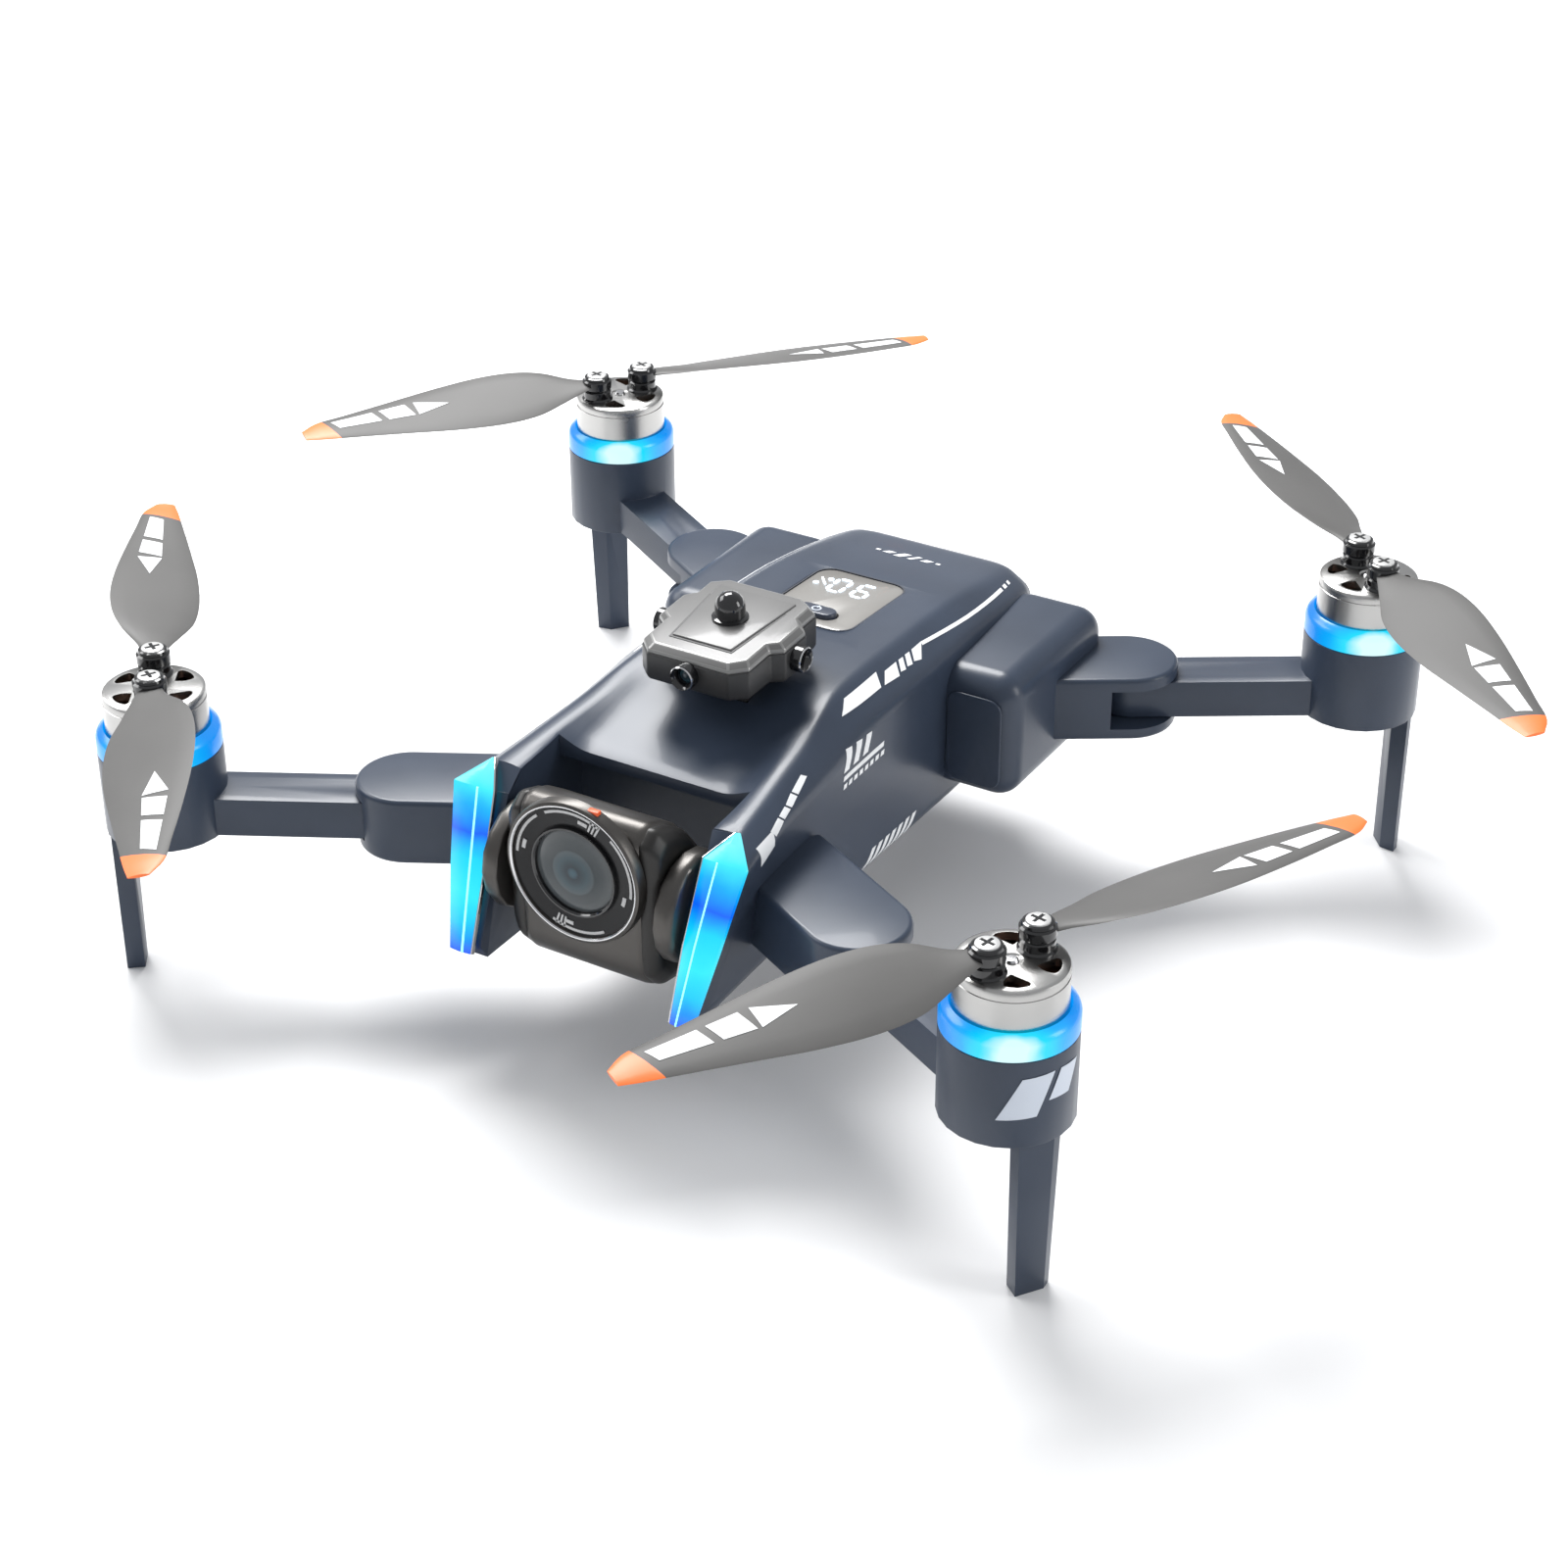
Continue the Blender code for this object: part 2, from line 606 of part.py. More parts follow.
def make_arm(tag, floor, rim, pivot_empty):
    """Bar from the pivot to the pod; lengths along local +X, pod axis at ARM_LENGTH."""
    half = ARM_WIDTH / 2
    inside = (POD_BORE + POD_RADIUS) / 2
    spread = math.degrees(math.asin(half / inside))
    outline = arc((0, 0), half, 90, 270, 6) + arc((ARM_LENGTH, 0), inside, 180 + spread, 180 - spread, 4)
    arm = prism("arm_" + tag, outline, floor, floor + ARM_HEIGHT, mat=NAVY, parent=pivot_empty)
    base = rim - POD_HEIGHT
    seat = base + POD_COVER + GAP
    top = rim - RING_HEIGHT - GAP
    floor_top = seat + SEAT_THICKNESS
    profile = [(0, floor_top), (POD_BORE, floor_top), (POD_BORE, top), (POD_RADIUS, top),
               (POD_RADIUS, base), (POD_BORE, base), (POD_BORE, seat), (0, seat)]
    pod = turned("pod_" + tag, profile, 24, parent=pivot_empty)
    pod.location = (ARM_LENGTH * MM, 0, 0)
    bore = turned("arm_bore_" + tag, [(0, 60), (PIVOT_BORE_RADIUS, 60), (PIVOT_BORE_RADIUS, 0), (0, 0)], 12,
                  parent=pivot_empty)
    fuse(arm, pod)
    cut(arm, bore)
    return arm


def make_leg(tag, sense, rim, pivot_empty):
    """Pod cover with the landing leg below it, tapering to the foot."""
    low = rim - POD_HEIGHT
    leg = loft("leg_" + tag, [[(u, sense * v, z) for u, v in ring] for ring, z in
                              ((LEG_FOOT, GROUND), (LEG_TOP, low - GAP))], mat=NAVY, parent=pivot_empty)
    neck = loft("leg_neck_" + tag, [[(u, sense * v, z) for u, v in LEG_NECK] for z in (low - 1.5, low + 0.7)],
                parent=pivot_empty)
    cover = turned("cover_" + tag, [(0, low + POD_COVER), (POD_BORE - GAP, low + POD_COVER),
                                    (POD_BORE - GAP, low + 0.1), (0, low + 0.1)], 20, parent=pivot_empty)
    fuse(leg, neck)
    fuse(leg, cover)
    for piece in (leg, neck, cover):
        piece.location = (ARM_LENGTH * MM, 0, 0)
    return leg


def make_light_ring(tag, rim, pivot_empty):
    low = rim - RING_HEIGHT
    ring = turned("light_ring_" + tag, [(POD_BORE, rim + RING_SLOPE - 0.4), (POD_RADIUS - 0.3, rim + 0.2),
                                        (POD_RADIUS, rim - 0.3), (POD_RADIUS, low), (POD_BORE, low)], 24,
                  mat=GLOW_BLUE, parent=pivot_empty)
    ring.location = (ARM_LENGTH * MM, 0, 0)
    return ring


def make_stator(tag, rim, pivot_empty):
    base = rim - POD_HEIGHT + POD_COVER + SEAT_THICKNESS + 2 * GAP
    bore = SHAFT_RADIUS + SHAFT_CLEARANCE
    profile = [(bore, rim + 6.4), (8.2, rim + 6.4), (8.2, rim - 1.0), (5.0, rim - 1.0), (5.0, base + 4.0),
               (8.8, base + 4.0), (8.8, base), (bore, base)]
    stator = turned("stator_" + tag, profile, 14, mat=COPPER, parent=pivot_empty)
    stator.location = (ARM_LENGTH * MM, 0, 0)
    return stator


def window_outline(angle):
    """Rounded triangle in the bell's top, its point towards the shaft."""
    c, s = direction(angle)
    return [(u * c - v * s, u * s + v * c) for u, v in WINDOW_SHAPE]


def make_bell(tag, rim, spin_empty):
    """Turning half of the motor: bell, shaft and two blade posts on local X."""
    top = rim + BELL_TOP
    skirt = rim - BELL_SKIRT
    inner = BELL_RADIUS - BELL_WALL
    foot = rim - POD_HEIGHT + POD_COVER + SEAT_THICKNESS + 2 * GAP + 1.0
    profile = [(0, top), (BELL_RADIUS - 0.5, top), (BELL_RADIUS, top - 0.5), (BELL_RADIUS, skirt),
               (inner, skirt), (inner, top - 1.5), (SHAFT_RADIUS, top - 1.5), (SHAFT_RADIUS, foot),
               (0, foot)]
    bell = turned("motor_bell_" + tag, profile, 24, mat=STEEL, parent=spin_empty)
    for i, angle in enumerate(WINDOW_ANGLES):
        cut(bell, prism("window_%s_%d" % (tag, i), window_outline(angle), top - 3, top + 3,
                        parent=spin_empty))
    for i, side in enumerate((1, -1)):
        post = turned("post_%s_%d" % (tag, i), [(0, top + POST_HEIGHT), (POST_RADIUS, top + POST_HEIGHT),
                                                (POST_RADIUS, top - 0.6), (0, top - 0.6)], 12,
                      parent=spin_empty)
        post.location = (side * POST_OFFSET * MM, 0, 0)
        fuse(bell, post)
        hole_profile = [(0, top + 5), (SCREW_HOLE, top + 5), (SCREW_HOLE, top - 0.5), (0, top - 0.5)]
        hole = turned("post_hole_%s_%d" % (tag, i), hole_profile, 8, parent=spin_empty)
        hole.location = post.location
        cut(bell, hole)
    return bell


def blade_rows(sense):
    """Closed blade sections; sense is +1 where the leading edge is on the +Y side."""
    rings = []
    for along, lead, trail, pitch in BLADE_PLAN:
        thick = BLADE_THICKNESS * (1.0 if along < 30 else 0.8)
        ring = []
        for across, lift in ((lead, 0.12), (0.2 * lead, 0.5), (trail, 0.12), (trail, -0.12),
                             (0.2 * lead, -0.4), (lead, -0.12)):
            rise = across * math.sin(math.radians(pitch))
            ring.append((along, sense * across * math.cos(math.radians(pitch)), rise + lift * thick))
        rings.append(ring)
    return rings


def make_blade(name, spin, height, parent, x, angle):
    """One blade about its own screw axis; spin is +1 for a rotor turning anticlockwise from above."""
    blade = loft(name, blade_rows(spin), mat=BLADE_GREY, parent=parent)
    hub = turned("hub_" + name, [(0, HUB_HEIGHT / 2), (HUB_RADIUS, HUB_HEIGHT / 2),
                                 (HUB_RADIUS, -HUB_HEIGHT / 2), (0, -HUB_HEIGHT / 2)], 12, parent=parent)
    bore = turned("hub_bore_" + name, [(0, 5), (HUB_BORE, 5), (HUB_BORE, -5), (0, -5)], 8, parent=parent)
    fuse(blade, hub)
    cut(blade, bore)
    for piece in (blade, hub, bore):
        piece.location = (x * MM, 0, height * MM)
        piece.rotation_euler = (0, 0, math.radians(angle))
    return blade


def make_blade_screw(name, base, parent, x):
    profile = [(0, base + 1.2), (1.7, base + 1.1), (2.2, base + 0.6), (2.2, base), (0.9, base),
               (0.9, base - 4.0), (0, base - 4.0)]
    screw = turned(name, profile, 10, mat=STEEL, parent=parent)
    screw.location = (x * MM, 0, 0)
    return screw


def make_rotor(arm, pivot_empty, first, second, posts):
    spin = 1 if arm.tag in ("front_left", "rear_right") else -1
    spin_empty = empty("spin_" + arm.tag, (ARM_LENGTH, 0, 0), posts - arm.angle, pivot_empty)
    make_bell(arm.tag, arm.rim, spin_empty)
    clearance = 0.1
    hub_base = arm.rim + BELL_TOP + POST_HEIGHT + clearance
    for letter, x, heading in (("a", POST_OFFSET, first), ("b", -POST_OFFSET, second)):
        name = "%s_%s" % (arm.tag, letter)
        make_blade("blade_" + name, spin, hub_base + HUB_HEIGHT / 2, spin_empty, x, heading - posts)
        make_blade_screw("blade_screw_" + name, hub_base + HUB_HEIGHT + clearance, spin_empty, x)


def make_arm_set(side, end, first, second, posts):
    arm = arm_setting(side, end)
    pivot_empty = empty("fold_" + arm.tag, (*arm.pivot, 0), arm.angle)
    make_arm(arm.tag, arm.floor, arm.rim, pivot_empty)
    make_leg(arm.tag, arm.sense, arm.rim, pivot_empty)
    make_light_ring(arm.tag, arm.rim, pivot_empty)
    make_stator(arm.tag, arm.rim, pivot_empty)
    make_rotor(arm, pivot_empty, first, second, posts)


def main():
    make_upper_shell()
    make_belly()
    make_inner_parts()
    make_display()
    for side in (-1, 1):
        make_strip(side)
    make_module()
    make_camera()
    for side, end, first, second, posts in ARMS:
        make_arm_set(side, end, first, second, posts)


main()
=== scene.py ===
"""Foldable camera quadcopter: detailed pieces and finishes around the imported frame.

Lengths are in millimetres and are scaled by MM where geometry is made. The places and sizes of the lights,
and the place of the camera, are in metres.
"""
import json
import math

import bmesh
import bpy
import numpy as np
from mathutils import Matrix, Vector
from mathutils.bvhtree import BVHTree

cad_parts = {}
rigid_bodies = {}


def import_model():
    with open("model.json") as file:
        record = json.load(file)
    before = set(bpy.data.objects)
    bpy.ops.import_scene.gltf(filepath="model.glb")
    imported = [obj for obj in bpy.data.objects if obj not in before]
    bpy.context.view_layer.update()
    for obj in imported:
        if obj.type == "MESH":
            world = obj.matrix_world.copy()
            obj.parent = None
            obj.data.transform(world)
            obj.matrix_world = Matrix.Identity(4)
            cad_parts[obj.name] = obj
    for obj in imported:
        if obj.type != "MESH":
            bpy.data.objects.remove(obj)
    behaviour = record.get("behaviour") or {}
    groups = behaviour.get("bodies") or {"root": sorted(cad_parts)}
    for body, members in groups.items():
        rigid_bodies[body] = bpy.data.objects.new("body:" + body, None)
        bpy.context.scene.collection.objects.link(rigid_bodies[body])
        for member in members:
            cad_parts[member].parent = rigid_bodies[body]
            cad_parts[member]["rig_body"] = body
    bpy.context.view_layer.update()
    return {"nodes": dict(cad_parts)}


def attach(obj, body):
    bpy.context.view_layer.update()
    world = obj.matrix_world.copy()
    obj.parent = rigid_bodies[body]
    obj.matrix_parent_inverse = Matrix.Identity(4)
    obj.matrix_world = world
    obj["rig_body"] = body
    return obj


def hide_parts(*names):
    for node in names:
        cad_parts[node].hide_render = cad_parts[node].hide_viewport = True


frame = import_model()

MM = 0.001
TAU = 2 * math.pi

# arms and rotors, as in the frame
ARM_LENGTH = 45.3
ARM_WIDTH = 10.6
ARM_HEIGHT = 7.6
FORK_HALF_WIDTH = 9.6
FORK_GAP = 0.3
POD_RADIUS = 11.5
POD_BORE = 9.9
RING_HEIGHT = 3.2
BELL_RADIUS = 9.47
BELL_WALL = 0.75
BELL_TOP = 8.5
BELL_SKIRT = 2.0
POST_OFFSET = 5.4
POST_HEIGHT = 2.2
HUB_HEIGHT = 2.2
BLADE_ROOT = 2.2
BLADE_TIP = 65.4
ORANGE_FROM = 59.6
BLADE_THICKNESS = 1.1
END = {
    "front": {"pivot": (47.6, -52.0), "angle": -28.1, "floor": 11.5, "rim": 31.0, "fold": 100.0, "back": 28},
    "rear": {"pivot": (47.7, 53.9), "angle": 31.75, "floor": 13.6, "rim": 33.1, "fold": 80.0, "back": 20},
}
# name, side, end, headings of the two blades and of the posts in degrees
ARMS = (
    ("front_left", -1, "front", 129.8, -49.6, 127.4),
    ("front_right", 1, "front", -120.0, 61.1, -110.0),
    ("rear_left", -1, "rear", -125.4, 47.7, -119.7),
    ("rear_right", 1, "rear", 136.8, -43.9, 136.6),
)
CAMERA_AXIS = Vector((0, -58.0, 18.5))
LENS = Vector((0, -66.2, 24.6))
GROUND = -19.3


# ---------------------------------------------------------------- materials

def node_material(name):
    made = bpy.data.materials.new(name)
    made.use_nodes = True
    tree = made.node_tree
    return made, tree, tree.nodes["Principled BSDF"]


def add(tree, kind, **values):
    node = tree.nodes.new(kind)
    for key, value in values.items():
        if key in node.inputs:
            node.inputs[key].default_value = value
        else:
            setattr(node, key.lower(), value)
    return node


def noise_of(tree, scale, detail=3.0, stretch=None):
    where = tree.nodes.new("ShaderNodeTexCoord")
    node = add(tree, "ShaderNodeTexNoise", Scale=scale, Detail=detail)
    if stretch:
        mapping = add(tree, "ShaderNodeMapping", Scale=stretch)
        tree.links.new(where.outputs["Object"], mapping.inputs["Vector"])
        tree.links.new(mapping.outputs["Vector"], node.inputs["Vector"])
    else:
        tree.links.new(where.outputs["Object"], node.inputs["Vector"])
    return node


def ramp_of(tree, source, stops, interpolation="LINEAR"):
    node = tree.nodes.new("ShaderNodeValToRGB")
    node.color_ramp.interpolation = interpolation
    elements = node.color_ramp.elements
    while len(elements) < len(stops):
        elements.new(0.5)
    for element, (place, colour) in zip(elements, stops):
        element.position = place
        element.color = (*colour, 1.0)
    tree.links.new(source, node.inputs["Fac"])
    return node


def scaled(colour, by):
    return tuple(min(1.0, c * by) for c in colour)


def moulded(name, colour, roughness=0.45, metallic=0.0, coat=0.0, grain=0.12, spread=0.12,
            grain_scale=2600.0, stretch=None, specular=0.5):
    """Moulded or painted surface: slow colour drift, fine grain in the bump, uneven gloss."""
    made, tree, shader = node_material(name)
    slow = noise_of(tree, 45.0, 4.0)
    shades = ((0.3, scaled(colour, 1 - spread)), (0.7, scaled(colour, 1 + spread)))
    tint = ramp_of(tree, slow.outputs["Fac"], shades)
    tree.links.new(tint.outputs["Color"], shader.inputs["Base Color"])
    fine = noise_of(tree, grain_scale, 2.0, stretch)
    gloss = add(tree, "ShaderNodeMapRange")
    gloss.inputs["To Min"].default_value = max(0.02, roughness - 0.07)
    gloss.inputs["To Max"].default_value = min(1.0, roughness + 0.07)
    tree.links.new(slow.outputs["Fac"], gloss.inputs["Value"])
    tree.links.new(gloss.outputs["Result"], shader.inputs["Roughness"])
    bump = add(tree, "ShaderNodeBump", Strength=grain, Distance=0.00004)
    tree.links.new(fine.outputs["Fac"], bump.inputs["Height"])
    tree.links.new(bump.outputs["Normal"], shader.inputs["Normal"])
    shader.inputs["Metallic"].default_value = metallic
    shader.inputs["Coat Weight"].default_value = coat
    shader.inputs["Coat Roughness"].default_value = 0.08
    shader.inputs["Specular IOR Level"].default_value = specular
    return made


def directional(name, origin, axis, stops, length, roughness=0.25, strength=1.0):
    """Emissive plastic whose colour runs along a direction on the piece."""
    made, tree, shader = node_material(name)
    where = tree.nodes.new("ShaderNodeTexCoord")
    shift = add(tree, "ShaderNodeVectorMath", operation="SUBTRACT")
    shift.inputs[1].default_value = [c * MM for c in origin]
    tree.links.new(where.outputs["Object"], shift.inputs[0])
    along = add(tree, "ShaderNodeVectorMath", operation="DOT_PRODUCT")
    along.inputs[1].default_value = [c / (length * MM) for c in Vector(axis).normalized()]
    tree.links.new(shift.outputs["Vector"], along.inputs[0])
    wobble = noise_of(tree, 160.0, 2.0)
    drift = add(tree, "ShaderNodeMath", operation="MULTIPLY_ADD")
    drift.inputs[1].default_value = 0.1
    drift.inputs[2].default_value = -0.05
    tree.links.new(wobble.outputs["Fac"], drift.inputs[0])
    total = add(tree, "ShaderNodeMath", operation="ADD")
    tree.links.new(along.outputs["Value"], total.inputs[0])
    tree.links.new(drift.outputs["Value"], total.inputs[1])
    ramp = ramp_of(tree, total.outputs["Value"], stops)
    tree.links.new(ramp.outputs["Color"], shader.inputs["Emission Color"])
    shader.inputs["Base Color"].default_value = (0.0, 0.02, 0.07, 1)
    shader.inputs["Emission Strength"].default_value = strength
    shader.inputs["Roughness"].default_value = roughness
    shader.inputs["Coat Weight"].default_value = 0.1
    return made


NAVY = moulded("navy_satin", (0.034, 0.047, 0.074), 0.34, grain=0.10, coat=0.08, specular=0.36)
NAVY_DEEP = moulded("navy_shadow", (0.018, 0.024, 0.040), 0.5)
NAVY_BUTTON = moulded("navy_button", (0.03, 0.04, 0.065), 0.3, coat=0.3)
BLADE = moulded("blade_nylon", (0.105, 0.103, 0.100), 0.47, grain=0.25, grain_scale=1500.0, spread=0.08,
                specular=0.3)
ORANGE = moulded("blade_tip_orange", (1.0, 0.19, 0.035), 0.42, grain=0.2, spread=0.05)
WHITE = moulded("printed_white", (0.86, 0.87, 0.88), 0.5, grain=0.08, spread=0.03)
PALE = moulded("printed_pale", (0.58, 0.63, 0.71), 0.5, grain=0.08, spread=0.03)
STEEL = moulded("satin_steel", (0.46, 0.455, 0.445), 0.27, 1.0, grain=0.35, grain_scale=900.0,
                stretch=(0.04, 0.04, 3.0), spread=0.08)
CHROME = moulded("bright_chrome", (0.62, 0.62, 0.63), 0.16, 1.0, grain=0.1, spread=0.04)
BLACK = moulded("gloss_black", (0.008, 0.008, 0.009), 0.12, coat=0.5, grain=0.04)
BLACK_FACE = moulded("lens_face_black", (0.008, 0.008, 0.009), 0.3, grain=0.1, specular=0.25)
SCREW_HEAD = moulded("screw_head", (0.55, 0.55, 0.545), 0.32, 0.3, grain=0.1, spread=0.04)
MODULE = moulded("module_grey", (0.125, 0.124, 0.122), 0.36, coat=0.15, grain=0.16)
# painted highlight: a lighter, more metallic grey for the bevelled edges of the module's lid, standing in for
# light caught on those edges
MODULE_EDGE_HIGHLIGHT = moulded("module_edge_painted_highlight", (0.24, 0.24, 0.235), 0.28, 0.4, grain=0.1)
MODULE_SIDE = moulded("module_dark", (0.03, 0.03, 0.031), 0.42, grain=0.16)
CAMERA_METAL = moulded("camera_gunmetal", (0.085, 0.080, 0.075), 0.34, 0.75, grain=0.2, grain_scale=1400.0)
# painted shade: a near-black copy of the gunmetal for the gimbal's chamfered end caps, where shadow falls
CAMERA_END_SHADE = moulded("camera_end_painted_shade", (0.02, 0.019, 0.018), 0.4, 0.3)
COPPER = moulded("wound_copper", (0.10, 0.045, 0.025), 0.38, 0.8, grain=0.6, grain_scale=1200.0,
                 stretch=(1.0, 1.0, 0.1))
DISPLAY = moulded("display_window", (0.255, 0.245, 0.230), 0.30, coat=0.4, grain=0.05, spread=0.06)
BOARD = moulded("circuit_green", (0.02, 0.15, 0.07), 0.4, coat=0.3)
BATTERY = moulded("battery_case", (0.035, 0.042, 0.055), 0.46)
RED_MARK = moulded("red_mark", (0.85, 0.11, 0.02), 0.4)
GREY_TICK = moulded("tick_grey", (0.50, 0.50, 0.50), 0.45, spread=0.05)


def lamp_material(name, colour, strength):
    made, tree, shader = node_material(name)
    drift = noise_of(tree, 300.0, 2.0)
    tint = ramp_of(tree, drift.outputs["Fac"], ((0.3, scaled(colour, 0.93)), (0.7, colour)))
    tree.links.new(tint.outputs["Color"], shader.inputs["Emission Color"])
    tree.links.new(tint.outputs["Color"], shader.inputs["Base Color"])
    shader.inputs["Emission Strength"].default_value = strength
    return made


DIGIT = lamp_material("digit_light", (0.72, 0.86, 1.0), 1.7)
STREAK = lamp_material("strip_streak", (0.30, 0.92, 1.0), 1.0)


def glass_material():
    """Smoky coated glass: rings of reflections at fixed radii, teal towards the middle."""
    made, tree, shader = node_material("coated_glass")
    where = tree.nodes.new("ShaderNodeTexCoord")
    radius = add(tree, "ShaderNodeVectorMath", operation="LENGTH")
    tree.links.new(where.outputs["Object"], radius.inputs[0])
    share = add(tree, "ShaderNodeMath", operation="MULTIPLY")
    share.inputs[1].default_value = 1 / (8.4 * MM)
    tree.links.new(radius.outputs["Value"], share.inputs[0])
    rings = ((0.0, (0.35, 0.50, 0.58)), (0.07, (0.01, 0.02, 0.03)), (0.16, (0.07, 0.17, 0.22)),
             (0.25, (0.008, 0.02, 0.03)), (0.40, (0.03, 0.06, 0.075)), (0.52, (0.05, 0.07, 0.08)),
             (0.56, (0.02, 0.03, 0.035)), (0.74, (0.035, 0.045, 0.05)), (0.92, (0.08, 0.09, 0.095)),
             (1.0, (0.03, 0.03, 0.032)))
    ramp = ramp_of(tree, share.outputs["Value"], rings)
    tree.links.new(ramp.outputs["Color"], shader.inputs["Base Color"])
    shader.inputs["Roughness"].default_value = 0.06
    shader.inputs["Coat Weight"].default_value = 0.3
    shader.inputs["Coat Roughness"].default_value = 0.02
    shader.inputs["Specular IOR Level"].default_value = 0.35
    return made


GLASS = glass_material()


# ---------------------------------------------------------------- geometry helpers

def direction(angle):
    return math.cos(math.radians(angle)), math.sin(math.radians(angle))


def arc(centre, radius, first, last, steps):
    turns = (first + (last - first) * i / steps for i in range(steps + 1))
    return [(centre[0] + radius * math.cos(math.radians(a)), centre[1] + radius * math.sin(math.radians(a)))
            for a in turns]


def to_object(name, bm):
    data = bpy.data.meshes.new(name)
    bmesh.ops.recalc_face_normals(bm, faces=bm.faces)
    bm.to_mesh(data)
    bm.free()
    made = bpy.data.objects.new(name, data)
    bpy.context.scene.collection.objects.link(made)
    return made


def from_lists(name, verts, faces):
    bm = bmesh.new()
    points = [bm.verts.new([c * MM for c in v]) for v in verts]
    for face in faces:
        bm.faces.new([points[i] for i in face])
    return to_object(name, bm)


def loft(name, rings, caps=True):
    count = len(rings[0])
    verts = [v for ring in rings for v in ring]
    faces = []
    for i in range(len(rings) - 1):
        for j in range(count):
            k = (j + 1) % count
            faces.append((i * count + j, i * count + k, (i + 1) * count + k, (i + 1) * count + j))
    if caps:
        faces.append(tuple(range(count)))
        faces.append(tuple(range(len(verts) - count, len(verts))))
    return from_lists(name, verts, faces)


def prism(name, outline, low, high):
    return loft(name, [[(x, y, z) for x, y in outline] for z in (low, high)])


def turned(name, profile, steps=64):
    """Profile of (radius, height) turned about Z; both ends lie on the axis unless it is closed."""
    bm = bmesh.new()
    closed = profile[0][0] > 0
    verts = [bm.verts.new((r * MM, 0, z * MM)) for r, z in profile]
    edges = [bm.edges.new(pair) for pair in zip(verts, verts[1:])]
    if closed:
        edges.append(bm.edges.new((verts[-1], verts[0])))
    bmesh.ops.spin(bm, geom=verts + edges, axis=(0, 0, 1), cent=(0, 0, 0), steps=steps, angle=TAU,
                   use_merge=True)
    bmesh.ops.remove_doubles(bm, verts=bm.verts, dist=1e-7)
    return to_object(name, bm)


def box(name, low, high):
    outline = [(low[0], low[1]), (high[0], low[1]), (high[0], high[1]), (low[0], high[1])]
    return prism(name, outline, low[2], high[2])


def apply_all(piece):
    graph = bpy.context.evaluated_depsgraph_get()
    data = bpy.data.meshes.new_from_object(piece.evaluated_get(graph))
    piece.modifiers.clear()
    piece.data = data
    return piece


def bevel(piece, width, segments=3, angle=32, material=-1):
    step = piece.modifiers.new("rounded", "BEVEL")
    step.material = material
    step.width = width * MM
    step.segments = segments
    step.limit_method = "ANGLE"
    step.angle_limit = math.radians(angle)
    return apply_all(piece)


def combine(piece, tools, operation="DIFFERENCE"):
    for tool in tools:
        step = piece.modifiers.new("shape", "BOOLEAN")
        step.operation = operation
        step.solver = "EXACT"
        step.object = tool
        apply_all(piece)
        bpy.data.objects.remove(tool)
    return piece


def tidy(piece, angle=1.0):
    bm = bmesh.new()
    bm.from_mesh(piece.data)
    bmesh.ops.remove_doubles(bm, verts=bm.verts, dist=2e-6)
    bmesh.ops.dissolve_limit(bm, angle_limit=math.radians(angle), verts=bm.verts, edges=bm.edges)
    bm.to_mesh(piece.data)
    bm.free()
    return piece


def smooth(piece, angle=35):
    for face in piece.data.polygons:
        face.use_smooth = True
    piece.data.set_sharp_from_angle(angle=math.radians(angle))
    return piece


def settle(piece, body, mat, replaces=(), angle=35):
    """Gives a piece its material, body and the nodes it stands for."""
    piece.data.materials.clear()
    for each in mat if isinstance(mat, (list, tuple)) else (mat,):
        piece.data.materials.append(each)
    smooth(piece, angle)
    turn = piece.rotation_euler.to_matrix().to_4x4()
    piece.data.transform(turn)
    piece.rotation_euler = (0, 0, 0)
    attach(piece, body)
    if replaces:
        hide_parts(*replaces)
    return piece


def adopt(node, name, mat, width=0.5, segments=2, angle=35):
    """A CAD node's own shape with its edges rounded, standing for the node."""
    source = frame["nodes"][node]
    piece = bpy.data.objects.new(name, source.data.copy())
    bpy.context.scene.collection.objects.link(piece)
    tidy(piece)
    if width:
        bevel(piece, width, segments)
    return settle(piece, source["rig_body"], mat, (node,), angle)


def place(piece, location, heading=0.0):
    piece.location = [c * MM for c in location]
    piece.rotation_euler = (0, 0, math.radians(heading))
    return piece


def fillet(points, radius, steps=4):
    """An open polyline of 3D points with each inner corner rounded."""
    made = [Vector(points[0])]
    for a, b, c in zip(points, points[1:], points[2:]):
        a, b, c = Vector(a), Vector(b), Vector(c)
        reach = min(radius, (a - b).length * 0.45, (c - b).length * 0.45)
        start = b + (a - b).normalized() * reach
        end = b + (c - b).normalized() * reach
        for i in range(steps + 1):
            t = i / steps
            made.append(start * (1 - t) ** 2 + b * 2 * t * (1 - t) + end * t * t)
    made.append(Vector(points[-1]))
    return made


def rounded_outline(x0, x1, y0, y1, radius, steps=6):
    points = arc((x1 - radius, y1 - radius), radius, 0, 90, steps)
    points += arc((x0 + radius, y1 - radius), radius, 90, 180, steps)
    points += arc((x0 + radius, y0 + radius), radius, 180, 270, steps)
    points += arc((x1 - radius, y0 + radius), radius, 270, 360, steps)
    return points


def spline_rows(rows, parts):
    """Rows of 3D points with smooth rows put between them."""
    data = np.array(rows, float)
    padded = np.concatenate([2 * data[:1] - data[1:2], data, 2 * data[-1:] - data[-2:-1]])
    made = []
    for i in range(len(data) - 1):
        p0, p1, p2, p3 = padded[i:i + 4]
        for k in range(parts):
            t = k / parts
            made.append(0.5 * (2 * p1 + (p2 - p0) * t + (2 * p0 - 5 * p1 + 4 * p2 - p3) * t * t
                               + (3 * p1 - p0 - 3 * p2 + p3) * t ** 3))
    made.append(data[-1])
    return made


# ---------------------------------------------------------------- body

